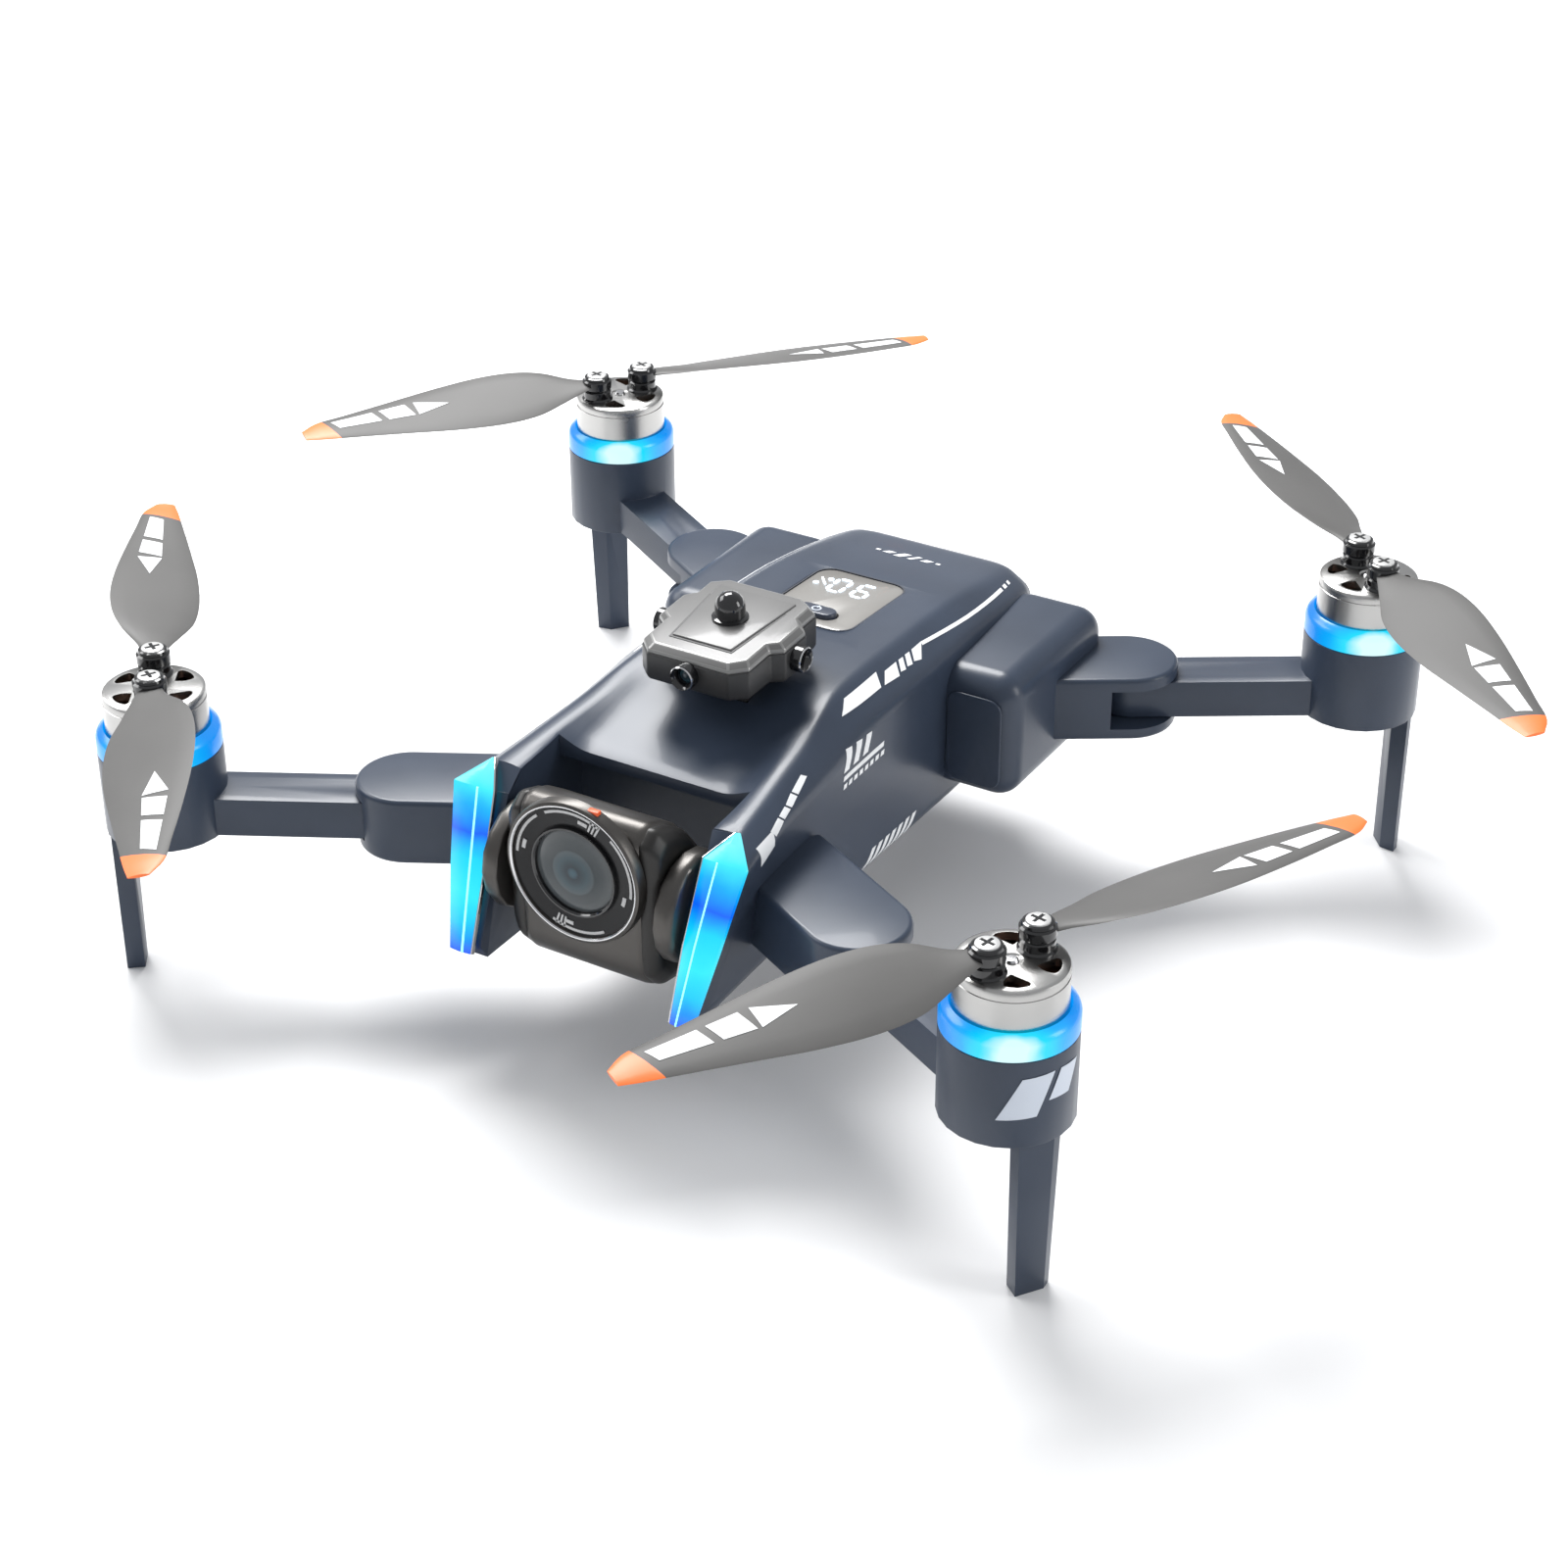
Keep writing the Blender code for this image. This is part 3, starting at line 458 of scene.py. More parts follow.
# half of each section: ramp middle, ramp edge, inner rail, crest, shoulder, mid side, low side, belly
HULL = (
    ((0, 62, 32.8), (8, 62, 32.8), (13, 62, 32.8), (16, 62, 32.6), (20.5, 62, 29), (20.5, 62, 14),
     (20.5, 62, 4), (17, 62, 0.6)),
    ((0, 58, 33.8), (8, 58, 33.8), (14, 58, 33.8), (18, 58, 33.6), (23.5, 58, 30.5), (24, 58, 15),
     (24, 58, 3), (22.8, 57.5, 0)),
    ((0, 35, 37.5), (10, 35, 37.5), (16, 35, 37.5), (18.5, 35, 37.4), (25, 35, 33.2), (25.5, 35, 17),
     (25.2, 35, 2.5), (23.4, 35, 0)),
    ((0, 10, 39), (10, 10, 39), (16, 10, 39), (19, 10, 38.9), (26, 10, 34), (26, 10, 17),
     (25, 10, 2.5), (23.2, 10, 0)),
    ((0, -9, 39.4), (12, -9, 39.4), (17, -9, 39.4), (19.7, -9, 39.3), (26.5, -9, 34.2), (26, -9, 17),
     (24.6, -9, 2.5), (23, -9, 0)),
    ((0, -18, 38.0), (14, -18, 38.0), (18.4, -18, 38.3), (21, -18, 38.2), (26.8, -18, 33), (26, -18, 17),
     (24.4, -18, 2.5), (23, -18, 0)),
    ((0, -28, 35.0), (15, -28, 35.0), (20, -28, 36.2), (23, -28, 35.8), (27.3, -28, 31.8), (26.2, -28, 17),
     (24.4, -28, 2.5), (23, -28, 0)),
    ((0, -42, 31.9), (15.6, -42, 31.9), (21.4, -42, 34.4), (24.3, -42, 34.2), (28.4, -43.5, 31),
     (26.6, -45, 16), (24.6, -46, 2.4), (23.2, -46, 0)),
    ((0, -54, 31.9), (15.6, -54, 31.9), (22.6, -54, 33.1), (25.4, -54, 33), (30.1, -58.6, 30),
     (27.8, -64.2, 16), (25.4, -69.2, 2.4), (24, -67, 0)),
)


def hull_skin():
    rows = []
    for section in HULL:
        rows.append([tuple(p) for p in fillet(section, 2.2)])
    rows = spline_rows(rows, 4)
    rings = []
    for row in rows:
        half = [tuple(p) for p in row]
        rings.append(half + [(-x, y, z) for x, y, z in reversed(half[1:])])
    return loft("shell_hull", rings)


def fork_setting(side, end):
    facts = END[end]
    angle = facts["angle"] if side > 0 else 180 - facts["angle"]
    sense = side if end == "front" else -side
    return (side * facts["pivot"][0], facts["pivot"][1]), angle, sense, facts


def pod_centre(side, end):
    pivot, angle, _, _ = fork_setting(side, end)
    c, s = direction(angle)
    return pivot[0] + ARM_LENGTH * c, pivot[1] + ARM_LENGTH * s


def make_fork(side, end):
    pivot, angle, sense, facts = fork_setting(side, end)
    tag = end + ("_left" if side < 0 else "_right")
    c, s = direction(angle)
    outline = arc(pivot, FORK_HALF_WIDTH, angle - 90, angle + 90, 24)
    for v in (FORK_HALF_WIDTH, -FORK_HALF_WIDTH):
        outline.append((pivot[0] - facts["back"] * c - v * s, pivot[1] - facts["back"] * s + v * c))
    low, high = facts["floor"] - 2.7, facts["floor"] + ARM_HEIGHT + 2.9
    fork = bevel(prism("shell_fork_" + tag, outline, low, high), 0.9, 4)
    half = ARM_WIDTH / 2 + 0.4

    def at(turn, along, across):
        c, s = direction(angle + sense * turn)
        return pivot[0] + along * c - sense * across * s, pivot[1] + along * s + sense * across * c

    fold = facts["fold"]
    slot = [at(0, 20, -half)] + [at(fold * i / 6, 23, 0) for i in range(7)] + [at(fold, 20, half)]
    slot += [at(fold + 90 + (180 - fold) * i / 8, half, 0) for i in range(9)]
    tool = prism("slot", slot, facts["floor"] - FORK_GAP, facts["floor"] + ARM_HEIGHT + FORK_GAP)
    combine(fork, [tool])
    settle(fork, "airframe", NAVY)
    pin = place(turned("fork_pin_" + tag, [(0, high - 2), (2.5, high - 2), (2.5, low + 2), (0, low + 2)], 32),
                (*pivot, 0))
    settle(pin, "airframe", STEEL)


def make_shoulder(side):
    x0, x1 = sorted((side * 20.0, side * 40.0))
    tag = "left" if side < 0 else "right"
    block = bevel(box("shell_shoulder_" + tag, (x0, 20, 5), (x1, 60, 31)), 5.0, 8)
    settle(block, "airframe", NAVY)
    inset = prism("shoulder_inset_" + tag, rounded_outline(-6.0, 5.6, -9.6, 9.4, 2.6), 0.0, 0.5)
    bevel(inset, 0.4, 3)
    inset.rotation_euler = (math.pi / 2, 0, 0)
    inset.location = (side * 32.0 * MM, 20.1 * MM, 17.6 * MM)
    settle(inset, "airframe", NAVY)


def make_shell():
    hull = hull_skin()
    cuts = [box("bay_open", (-20.2, -80, -5), (20.2, -42.0, 60)),
            box("bay_deep", (-20.2, -60, -5), (20.2, -35.5, 29.6)),
            box("inner_room", (-20.3, -32.5, -1), (20.3, 59.6, 28.8)),
            bevel(box("door", (-15.4, 50, 2.5), (15.4, 70, 19.4)), 1.0, 3),
            box("socket", (-6.3, -20.3, 25), (6.3, -7.7, 45))]
    recess = prism("recess", rounded_outline(-9.8, 9.8, -13.0, 13.0, 3.8), -1.6, 3.0)
    tilt(recess, 22.0)
    bpy.context.view_layer.update()
    combine(hull, cuts + [recess])
    tidy(hull, 0.5)
    bevel(hull, 0.35, 2, 50)
    settle(hull, "airframe", NAVY, ("upper_shell",))
    for side in (-1, 1):
        make_shoulder(side)
        make_fork(side, "front")
        make_fork(side, "rear")
    return hull


ROOF_SLOPE = math.atan2(-1.5, 25.0)


def tilt(piece, y, lift=0.0):
    """Puts a piece made flat about its centre on the sloping roof."""
    piece.rotation_euler = (ROOF_SLOPE, 0, 0)
    piece.location = (0, y * MM, (39.0 - (y - 10.0) * 1.5 / 25.0 + lift) * MM)
    return piece


# ---------------------------------------------------------------- display

SEGMENTS = {"a": (0, 2.6, 0), "b": (1.25, 1.3, 1), "c": (1.25, -1.3, 1), "d": (0, -2.6, 0),
            "e": (-1.25, -1.3, 1), "f": (-1.25, 1.3, 1), "g": (0, 0, 0)}
LIT = {"9": "abcdfg", "0": "abcdef"}


def segment_outline(cx, cy, upright, length=1.05, half=0.32):
    shape = [(-length, 0), (-length + half, half), (length - half, half), (length, 0),
             (length - half, -half), (-length + half, -half)]
    return [(cx + (y if upright else x), cy + (x if upright else y)) for x, y in shape]


# size of the digits against their outline, and their middle along the panel
DIGIT_SCALE, DIGIT_MIDDLE = 1.15, 6.3


def make_display():
    panel = prism("display_glass", rounded_outline(-9.5, 9.5, -12.7, 12.7, 3.5), -1.35, -0.1)
    hole = prism("hole", rounded_outline(-4.5, 4.5, -9.3, -4.7, 2.25), -3, 2)
    combine(panel, [hole])
    bevel(panel, 0.25, 2)
    settle(tilt(panel, 22.0), "airframe", DISPLAY, ("display_panel",))
    rim = prism("display_rim", rounded_outline(-9.78, 9.78, -12.98, 12.98, 3.78), -0.5, 0.1)
    combine(rim, [prism("rim_hole", rounded_outline(-9.45, 9.45, -12.65, 12.65, 3.45), -3, 2)])
    settle(tilt(rim, 22.0), "airframe", NAVY_DEEP)
    verts, faces = [], []
    for digit, centre in (("9", 2.6), ("0", -2.6)):
        for key in LIT[digit]:
            cx, cy, upright = SEGMENTS[key]
            outline = segment_outline(cx, cy, upright)
            lit = [(centre - x * DIGIT_SCALE, DIGIT_MIDDLE - y * DIGIT_SCALE) for x, y in outline]
            add_slab(verts, faces, lit, -0.12, -0.04)
    for cx, cy in ((-7.3, 5.3), (-5.5, 8.1)):
        add_slab(verts, faces, arc((cx, cy), 0.6, 0, 330, 11), -0.12, -0.04)
    add_slab(verts, faces, [(-7.6, 7.9), (-7.3, 8.2), (-5.1, 5.5), (-5.4, 5.2)], -0.12, -0.04)
    digits = from_lists("display_digits", verts, faces)
    settle(tilt(digits, 22.0), "airframe", DIGIT)
    button = bevel(prism("button_cap", rounded_outline(-4.2, 4.2, -2.0, 2.0, 1.95), -0.9, 0.75), 0.45, 4)
    settle(tilt(button, 15.0), "power_button", NAVY_BUTTON, ("power_button",))
    ring = turned("button_symbol", [(1.0, 0.8), (0.7, 0.8), (0.7, 0.7), (1.0, 0.7)], 24)
    bar = box("symbol_bar", (-0.12, 0.3, 0.7), (0.12, 1.3, 0.8))
    combine(ring, [bar], "UNION")
    settle(tilt(ring, 15.0), "power_button", PALE)


def add_slab(verts, faces, outline, low, high):
    """Adds a closed flat plate to lists of vertices and faces."""
    first, count = len(verts), len(outline)
    verts += [(x, y, low) for x, y in outline] + [(x, y, high) for x, y in outline]
    faces.append(tuple(first + i for i in range(count)))
    faces.append(tuple(first + count + i for i in range(count)))
    for i in range(count):
        k = (i + 1) % count
        faces.append((first + i, first + k, first + count + k, first + count + i))


# ---------------------------------------------------------------- nose lights

STRIP_ROWS = ((25.0, 25.7, -54.9, 33.9), (21.6, 30.5, -60.3, 30.6), (20.9, 28.2, -65.9, 16.2),
              (20.8, 25.6, -70.9, 2.4))
STREAK_SHARE = 0.38
STRIP_STOPS = ((0.0, (0.0, 0.10, 0.95)), (0.16, (0.0, 0.62, 1.0)), (0.30, (0.02, 0.85, 1.0)),
               (0.48, (0.0, 0.70, 1.0)), (0.62, (0.0, 0.12, 0.95)), (0.74, (0.0, 0.45, 1.0)),
               (0.86, (0.05, 0.88, 1.0)), (1.0, (0.25, 0.95, 1.0)))


def make_strip(side):
    tag = "left" if side < 0 else "right"
    rows = []
    for x0, x1, y, z in STRIP_ROWS:
        mid = (x0 + x1) / 2
        rows.append([(x0 + 0.35, y, z), (mid, y - 0.5, z + 0.25), (x1, y, z), (x1, y + 0.95, z - 0.5),
                     (x0 + 0.35, y + 0.95, z - 0.5)])
    dense = []
    for a, b in zip(rows, rows[1:]):
        for k in range(6):
            dense.append([tuple(Vector(p).lerp(Vector(q), k / 6)) for p, q in zip(a, b)])
    dense.append(rows[-1])
    strip = loft("strip_" + tag, [[(side * x, y, z) for x, y, z in row] for row in dense])
    bevel(strip, 0.25, 2)
    mat = directional("strip_glow_" + tag, (0, -71, 2.4), (0, 0.42, 0.9), STRIP_STOPS, 35.5, strength=1.0)
    settle(strip, "airframe", mat, ("light_strip_" + tag,))
    edge = []
    for x0, x1, y, z in STRIP_ROWS:
        edge.append([(side * (x0 + dx), y + dy, z + dz) for dx, dy, dz in
                     ((0.0, 0.05, 0.1), (0.32, 0.0, 0.1), (0.32, 0.9, -0.4), (0.0, 0.9, -0.4))])
    line = bevel(loft("strip_bezel_" + tag, edge), 0.08, 1)
    settle(line, "airframe", CHROME)
    streak = []
    for x0, x1, y, z in STRIP_ROWS:
        at = x0 + STREAK_SHARE * (x1 - x0)
        streak.append([(side * (at + dx), y + dy, z + 0.2) for dx, dy in
                       ((-0.22, -0.28), (0.0, -0.5), (0.22, -0.44), (0.22, 0.0), (-0.22, 0.0))])
    settle(loft("strip_streak_" + tag, streak[1:]), "airframe", STREAK)


# ---------------------------------------------------------------- obstacle module

MODULE_OUTLINE = ((8.6, -30.4), (11.4, -27.6), (11.4, -20.6), (13.6, -18.8), (13.6, -11.6),
                  (11.6, -9.4), (11.6, -4.6), (8.4, -2.2))


# front end, middle and length of the module along Y
MODULE_FRONT, MODULE_MIDDLE, MODULE_LENGTH = -30.4, -16.0, 28.2


def module_ring(scale, z0, z1):
    half = list(MODULE_OUTLINE)
    outline = half + [(-x, y) for x, y in reversed(half)]
    return [(x * scale, MODULE_MIDDLE + (y - MODULE_MIDDLE) * scale,
             z0 + (z1 - z0) * (y - MODULE_FRONT) / MODULE_LENGTH) for x, y in outline]


def make_module():
    levels = ((0.90, 42.7, 42.7), (0.97, 42.9, 42.9), (1.0, 43.8, 43.8), (1.0, 48.3, 49.4))
    lower = bevel(loft("module_base", [module_ring(*level) for level in levels]), 0.35, 3)
    settle(lower, "obstacle_module", MODULE_SIDE, ("module_housing",))
    upper = loft("module_lid", [module_ring(*level) for level in
                                ((0.985, 48.2, 49.3), (0.985, 48.9, 50.1), (0.90, 50.0, 51.55))])
    for mat in (MODULE, MODULE_EDGE_HIGHLIGHT):
        upper.data.materials.append(mat)
    # the bevel faces take material slot 1, the painted edge highlight
    bevel(upper, 0.3, 3, 20, 1)
    keep = [face.material_index for face in upper.data.polygons]
    settle(upper, "obstacle_module", (MODULE, MODULE_EDGE_HIGHLIGHT))
    upper.data.polygons.foreach_set("material_index", keep)
    panel = [(-6.2, -25.5), (6.2, -25.5), (8.2, -6.0), (-8.2, -6.0)]
    slab = bevel(prism("module_panel", panel, -0.35, 0.35), 0.25, 3)
    slope = math.atan2(1.55, 28.2)
    slab.rotation_euler = (slope, 0, 0)
    slab.location = (0, 0, 51.65 * MM)
    settle(slab, "obstacle_module", MODULE)
    groove = prism("module_groove", [(-6.6, -26.0), (6.6, -26.0), (8.7, -5.6), (-8.7, -5.6)], -0.3, 0.06)
    groove.rotation_euler = (slope, 0, 0)
    groove.location = slab.location
    settle(groove, "obstacle_module", MODULE_SIDE)
    stem = bevel(box("module_foot", (-6.0, -20.0, 33.0), (6.0, -8.0, 42.6)), 0.8, 3)
    settle(stem, "obstacle_module", MODULE_SIDE, ("module_stem",))
    dome = [(0, 5.1), (0.8, 4.98), (1.6, 4.6), (2.25, 3.95), (2.65, 3.15), (2.8, 2.3), (2.8, 0.5),
            (3.4, 0.3), (3.4, 0), (0, 0)]
    cap = turned("dome_cap", dome, 48)
    settle(place(cap, (0, -15.7, 51.2)), "obstacle_module", BLACK, ("sky_dome",))
    places = (("front_sensor", (0, -30.7, 46.2), (math.pi / 2, 0, 0)),
              ("left_sensor", (-13.9, -15.2, 46.4), (0, -math.pi / 2, 0)),
              ("right_sensor", (13.9, -15.2, 46.4), (0, math.pi / 2, 0)))
    for name, where, turn in places:
        barrel = turned("barrel_" + name, [(2.1, 1.8), (2.45, 1.45), (2.45, -0.6), (1.2, -0.6), (1.2, 0.6),
                                           (1.75, 1.5)], 40)
        place(barrel, where).rotation_euler = turn
        settle(barrel, "obstacle_module", BLACK, (name,))
        ring = turned("barrel_rim_" + name, [(2.2, 1.86), (2.38, 1.66), (2.1, 1.6)], 40)
        place(ring, where).rotation_euler = turn
        settle(ring, "obstacle_module", CHROME)
        iris = turned("barrel_glass_" + name, [(0, 0.5), (0.7, 0.35), (1.25, 0.0), (0, -0.4)], 32)
        place(iris, where).rotation_euler = turn
        settle(iris, "obstacle_module", GLASS)


# ---------------------------------------------------------------- camera

def facing(piece):
    """Turns a piece made along +Z to face the nose, at the lens."""
    piece.rotation_euler = (math.pi / 2, 0, 0)
    piece.location = LENS * MM
    return piece


def ring_arc(verts, faces, inner, outer, first, last, low, high):
    steps = max(3, int(abs(last - first) / 5))
    add_slab(verts, faces, arc((0, 0), outer, first, last, steps) + arc((0, 0), inner, last, first, steps),
             low, high)


# side outline of the camera block as (y, z) from its tilt axis, front and top round to the chin
GIMBAL_OUTLINE = ((-8.0, 14.6), (-8.0, -9.0), (-7.4, -13.0), (-4.4, -16.4), (1.0, -17.4), (7.0, -15.0),
                  (10.5, -8.0), (10.8, 0.0), (8.5, 7.4), (4.5, 12.4), (0.0, 15.4), (-4.8, 17.0))


def gimbal_rings(slices):
    return [[(x, CAMERA_AXIS.y + y * scale, CAMERA_AXIS.z + z * scale) for y, z in GIMBAL_OUTLINE]
            for x, scale in slices]


def make_camera():
    block = loft("gimbal_block", gimbal_rings(((-13.2, 1.0), (13.2, 1.0))))
    bevel(block, 2.2, 6, 18)
    settle(block, "camera", CAMERA_METAL, ("camera_housing",), 40)
    # the end caps at both sides are darkened with painted shade
    for side in (-1, 1):
        slices = sorted(((side * 12.0, 0.97), (side * 14.2, 0.95), (side * 15.9, 0.80)))
        cap = loft("gimbal_cap_left" if side < 0 else "gimbal_cap_right", gimbal_rings(slices))
        bevel(cap, 0.8, 4, 18)
        settle(cap, "camera", CAMERA_END_SHADE, (), 40)
    adopt("camera_axle", "gimbal_bosses", CAMERA_METAL, 0.5, 3)
    face = turned("lens_face", [(8.4, 0.9), (9.6, 1.2), (12.55, 1.35), (12.6, 0), (8.4, 0)], 96)
    settle(facing(face), "camera", BLACK_FACE, ("lens_bezel",))
    rim = turned("lens_rim", [(12.55, 1.3), (12.7, 1.75), (13.2, 2.0), (13.7, 1.75), (13.9, 1.2),
                              (13.9, -0.3), (12.5, -0.3)], 96)
    settle(facing(rim), "camera", CAMERA_METAL)
    line = turned("lens_line", [(12.75, 1.8), (12.95, 2.0), (13.15, 2.0), (13.0, 1.7)], 96)
    settle(facing(line), "camera", CHROME)
    inner = turned("lens_tube", [(8.1, 1.45), (8.35, 1.75), (8.65, 1.75), (8.85, 1.3), (8.85, 0),
                                 (8.1, 0)], 96)
    settle(facing(inner), "camera", BLACK)
    glass = [(0, 1.75), (2.4, 1.7), (4.4, 1.55), (6.2, 1.3), (7.4, 1.05), (8.15, 0.8), (8.15, 0), (0, 0)]
    dome = turned("lens_front", glass, 96)
    settle(facing(dome), "camera", GLASS, ("lens_glass",))
    verts, faces = [], []
    for first, last in ((62, 118), (-8, 48), (128, 176), (246, 300)):
        ring_arc(verts, faces, 11.6, 12.1, first, last, 1.3, 1.45)
    for middle in (78, 345, 262, 165):
        ring_arc(verts, faces, 10.3, 11.0, middle - 5, middle + 5, 1.25, 1.42)
    for middle in (62, 250):
        for k in range(3):
            ring_arc(verts, faces, 9.9, 12.2, middle + 4 * k - 0.9, middle + 4 * k + 0.9, 1.25, 1.45)
    marks = from_lists("lens_marks", verts, faces)
    settle(facing(marks), "camera", GREY_TICK)
    dot = bevel(box("camera_dot", (3.0, -67.5, 37.2), (5.4, -66.3, 38.1)), 0.15, 2)
    settle(dot, "camera", RED_MARK)


# ---------------------------------------------------------------- arms, pods and rotors

# direction in which every glow ring is brightest, towards the camera: the lamp's real glow with a painted
# highlight on that side
GLOW_HIGHLIGHT_SIDE = (0.515, -0.857, 0.0)


def make_arm(tag, side, end, turns):
    body = "arm_" + tag
    rim = END[end]["rim"]
    centre = pod_centre(side, end)
    adopt("arm_" + tag, "arm_skin_" + tag, NAVY, 0.5, 3)
    adopt("leg_" + tag, "leg_skin_" + tag, NAVY, 0.6, 2, 30)
    profile = [(POD_BORE, rim + 1.3), (10.9, rim + 0.7), (11.3, rim + 0.1), (11.45, rim - 0.5),
               (11.45, rim - RING_HEIGHT), (POD_BORE, rim - RING_HEIGHT)]
    ring = place(turned("glow_" + tag, profile, 96), (*centre, 0))
    # the stops rise from dark blue on the far side to a near-white painted highlight on the side facing the
    # camera
    stops = ((0.0, (0.0, 0.10, 0.42)), (0.30, (0.0, 0.22, 0.75)), (0.72, (0.0, 0.28, 0.87)),
             (0.86, (0.0, 0.42, 0.95)), (0.955, (0.0, 0.72, 1.0)), (1.0, (0.7, 1.0, 1.0)))
    mat = directional("ring_glow_" + tag, [-11.3 * c for c in GLOW_HIGHLIGHT_SIDE], GLOW_HIGHLIGHT_SIDE, stops, 22.6)
    settle(ring, body, mat, ("light_ring_" + tag,))
    adopt("stator_" + tag, "stator_skin_" + tag, COPPER, 0.3, 1)
    make_rotor(tag, centre, rim, turns)


def bell_profile(top, skirt):
    inner = BELL_RADIUS - BELL_WALL
    return [(0, top - 0.25), (1.6, top - 0.25), (1.9, top), (inner, top), (BELL_RADIUS - 0.2, top - 0.3),
            (BELL_RADIUS, top - 0.75), (BELL_RADIUS, top - 1.5), (BELL_RADIUS - 0.16, top - 1.6),
            (BELL_RADIUS - 0.16, top - 1.9), (BELL_RADIUS, top - 2.0), (BELL_RADIUS, skirt), (inner, skirt),
            (inner, top - 1.5), (1.3, top - 1.5), (1.3, skirt), (0, skirt)]


def make_rotor(tag, centre, rim, turns):
    first, second, posts = turns
    body = "rotor_" + tag
    top, skirt = rim + BELL_TOP, rim - BELL_SKIRT
    bell = turned("bell_" + tag, bell_profile(top, skirt), 72)
    tools = []
    for middle in (54, 126, 234, 306):
        shape = fillet([(u, v, 0) for u, v in ((5.4, 1.9), (3.5, 0.0), (5.4, -1.9), (7.5, -2.3), (8.1, 0.0),
                                               (7.5, 2.3), (5.4, 1.9), (3.5, 0.0))], 0.9, 3)
        c, s = direction(middle)
        tools.append(prism("window", [(p.x * c - p.y * s, p.x * s + p.y * c) for p in shape[4:-5]],
                           top - 3, top + 3))
    combine(bell, tools)
    settle(place(bell, (*centre, 0), posts), body, STEEL, ("motor_bell_" + tag,))
    heart = turned("shaft_" + tag, [(0, top + 0.35), (0.9, top + 0.3), (1.15, top), (1.15, top - 1),
                                    (0, top - 1)], 32)
    settle(place(heart, (*centre, 0)), body, CHROME)
    spin = 1 if tag in ("front_left", "rear_right") else -1
    for letter, sign, heading in (("a", 1, first), ("b", -1, second)):
        c, s = direction(posts)
        at = (centre[0] + sign * POST_OFFSET * c, centre[1] + sign * POST_OFFSET * s)
        post_profile = [(0, POST_HEIGHT), (2.6, POST_HEIGHT), (2.95, POST_HEIGHT - 0.35), (2.95, 0.5),
                        (3.3, 0.2), (3.3, -0.4), (0, -0.4)]
        post = turned("post_%s_%s" % (tag, letter), post_profile, 48)
        settle(place(post, (*at, top)), body, BLACK)
        make_blade(tag, letter, at, top + POST_HEIGHT + 0.1 + HUB_HEIGHT / 2, heading, spin)
        make_screw(tag, letter, at, top + POST_HEIGHT + 0.1 + HUB_HEIGHT, heading, body)


# distance from the screw, leading edge, trailing edge, pitch in degrees
BLADE_PLAN = ((BLADE_ROOT, 2.3, -2.3, 4), (5.0, 3.2, -3.3, 9), (10.0, 6.2, -5.2, 15), (16.0, 8.0, -7.4, 16),
              (24.0, 8.5, -8.3, 15), (34.0, 7.7, -7.9, 12.5), (45.0, 6.0, -6.4, 10), (55.0, 4.2, -4.9, 8),
              (61.5, 3.0, -3.9, 7), (BLADE_TIP, 0.6, -3.1, 6))
BLADE_ROWS = np.array(spline_rows(BLADE_PLAN, 6))


def blade_at(along):
    """Leading edge, trailing edge and pitch in radians at a distance from the screw."""
    rows = BLADE_ROWS
    i = min(len(rows) - 2, max(0, int(np.searchsorted(rows[:, 0], along)) - 1))
    t = (along - rows[i, 0]) / (rows[i + 1, 0] - rows[i, 0])
    lead, trail, pitch = rows[i, 1:] * (1 - t) + rows[i + 1, 1:] * t
    return lead, trail, math.radians(pitch)


# outline of the section: share of the half chord, share of the thickness
SECTION = ((1.0, 0.0), (0.93, 0.16), (0.6, 0.34), (0.1, 0.44), (-0.5, 0.34), (-0.92, 0.14), (-1.0, 0.0),
           (-0.92, -0.12), (-0.5, -0.24), (0.1, -0.36), (0.6, -0.3), (0.93, -0.14))


def blade_point(along, across, lift, spin):
    pitch = blade_at(along)[2]
    return along, spin * across * math.cos(pitch), across * math.sin(pitch) + lift


def skin_lift(along, across):
    """Height of the upper skin above the chord, so that prints lie on it."""
    lead, trail, _ = blade_at(along)
    middle, half = (lead + trail) / 2, (lead - trail) / 2
    share = (across - middle) / half
    xs = [p[0] for p in reversed(SECTION[:7])]
    ys = [p[1] for p in reversed(SECTION[:7])]
    return float(np.interp(share, xs, ys)) * BLADE_THICKNESS


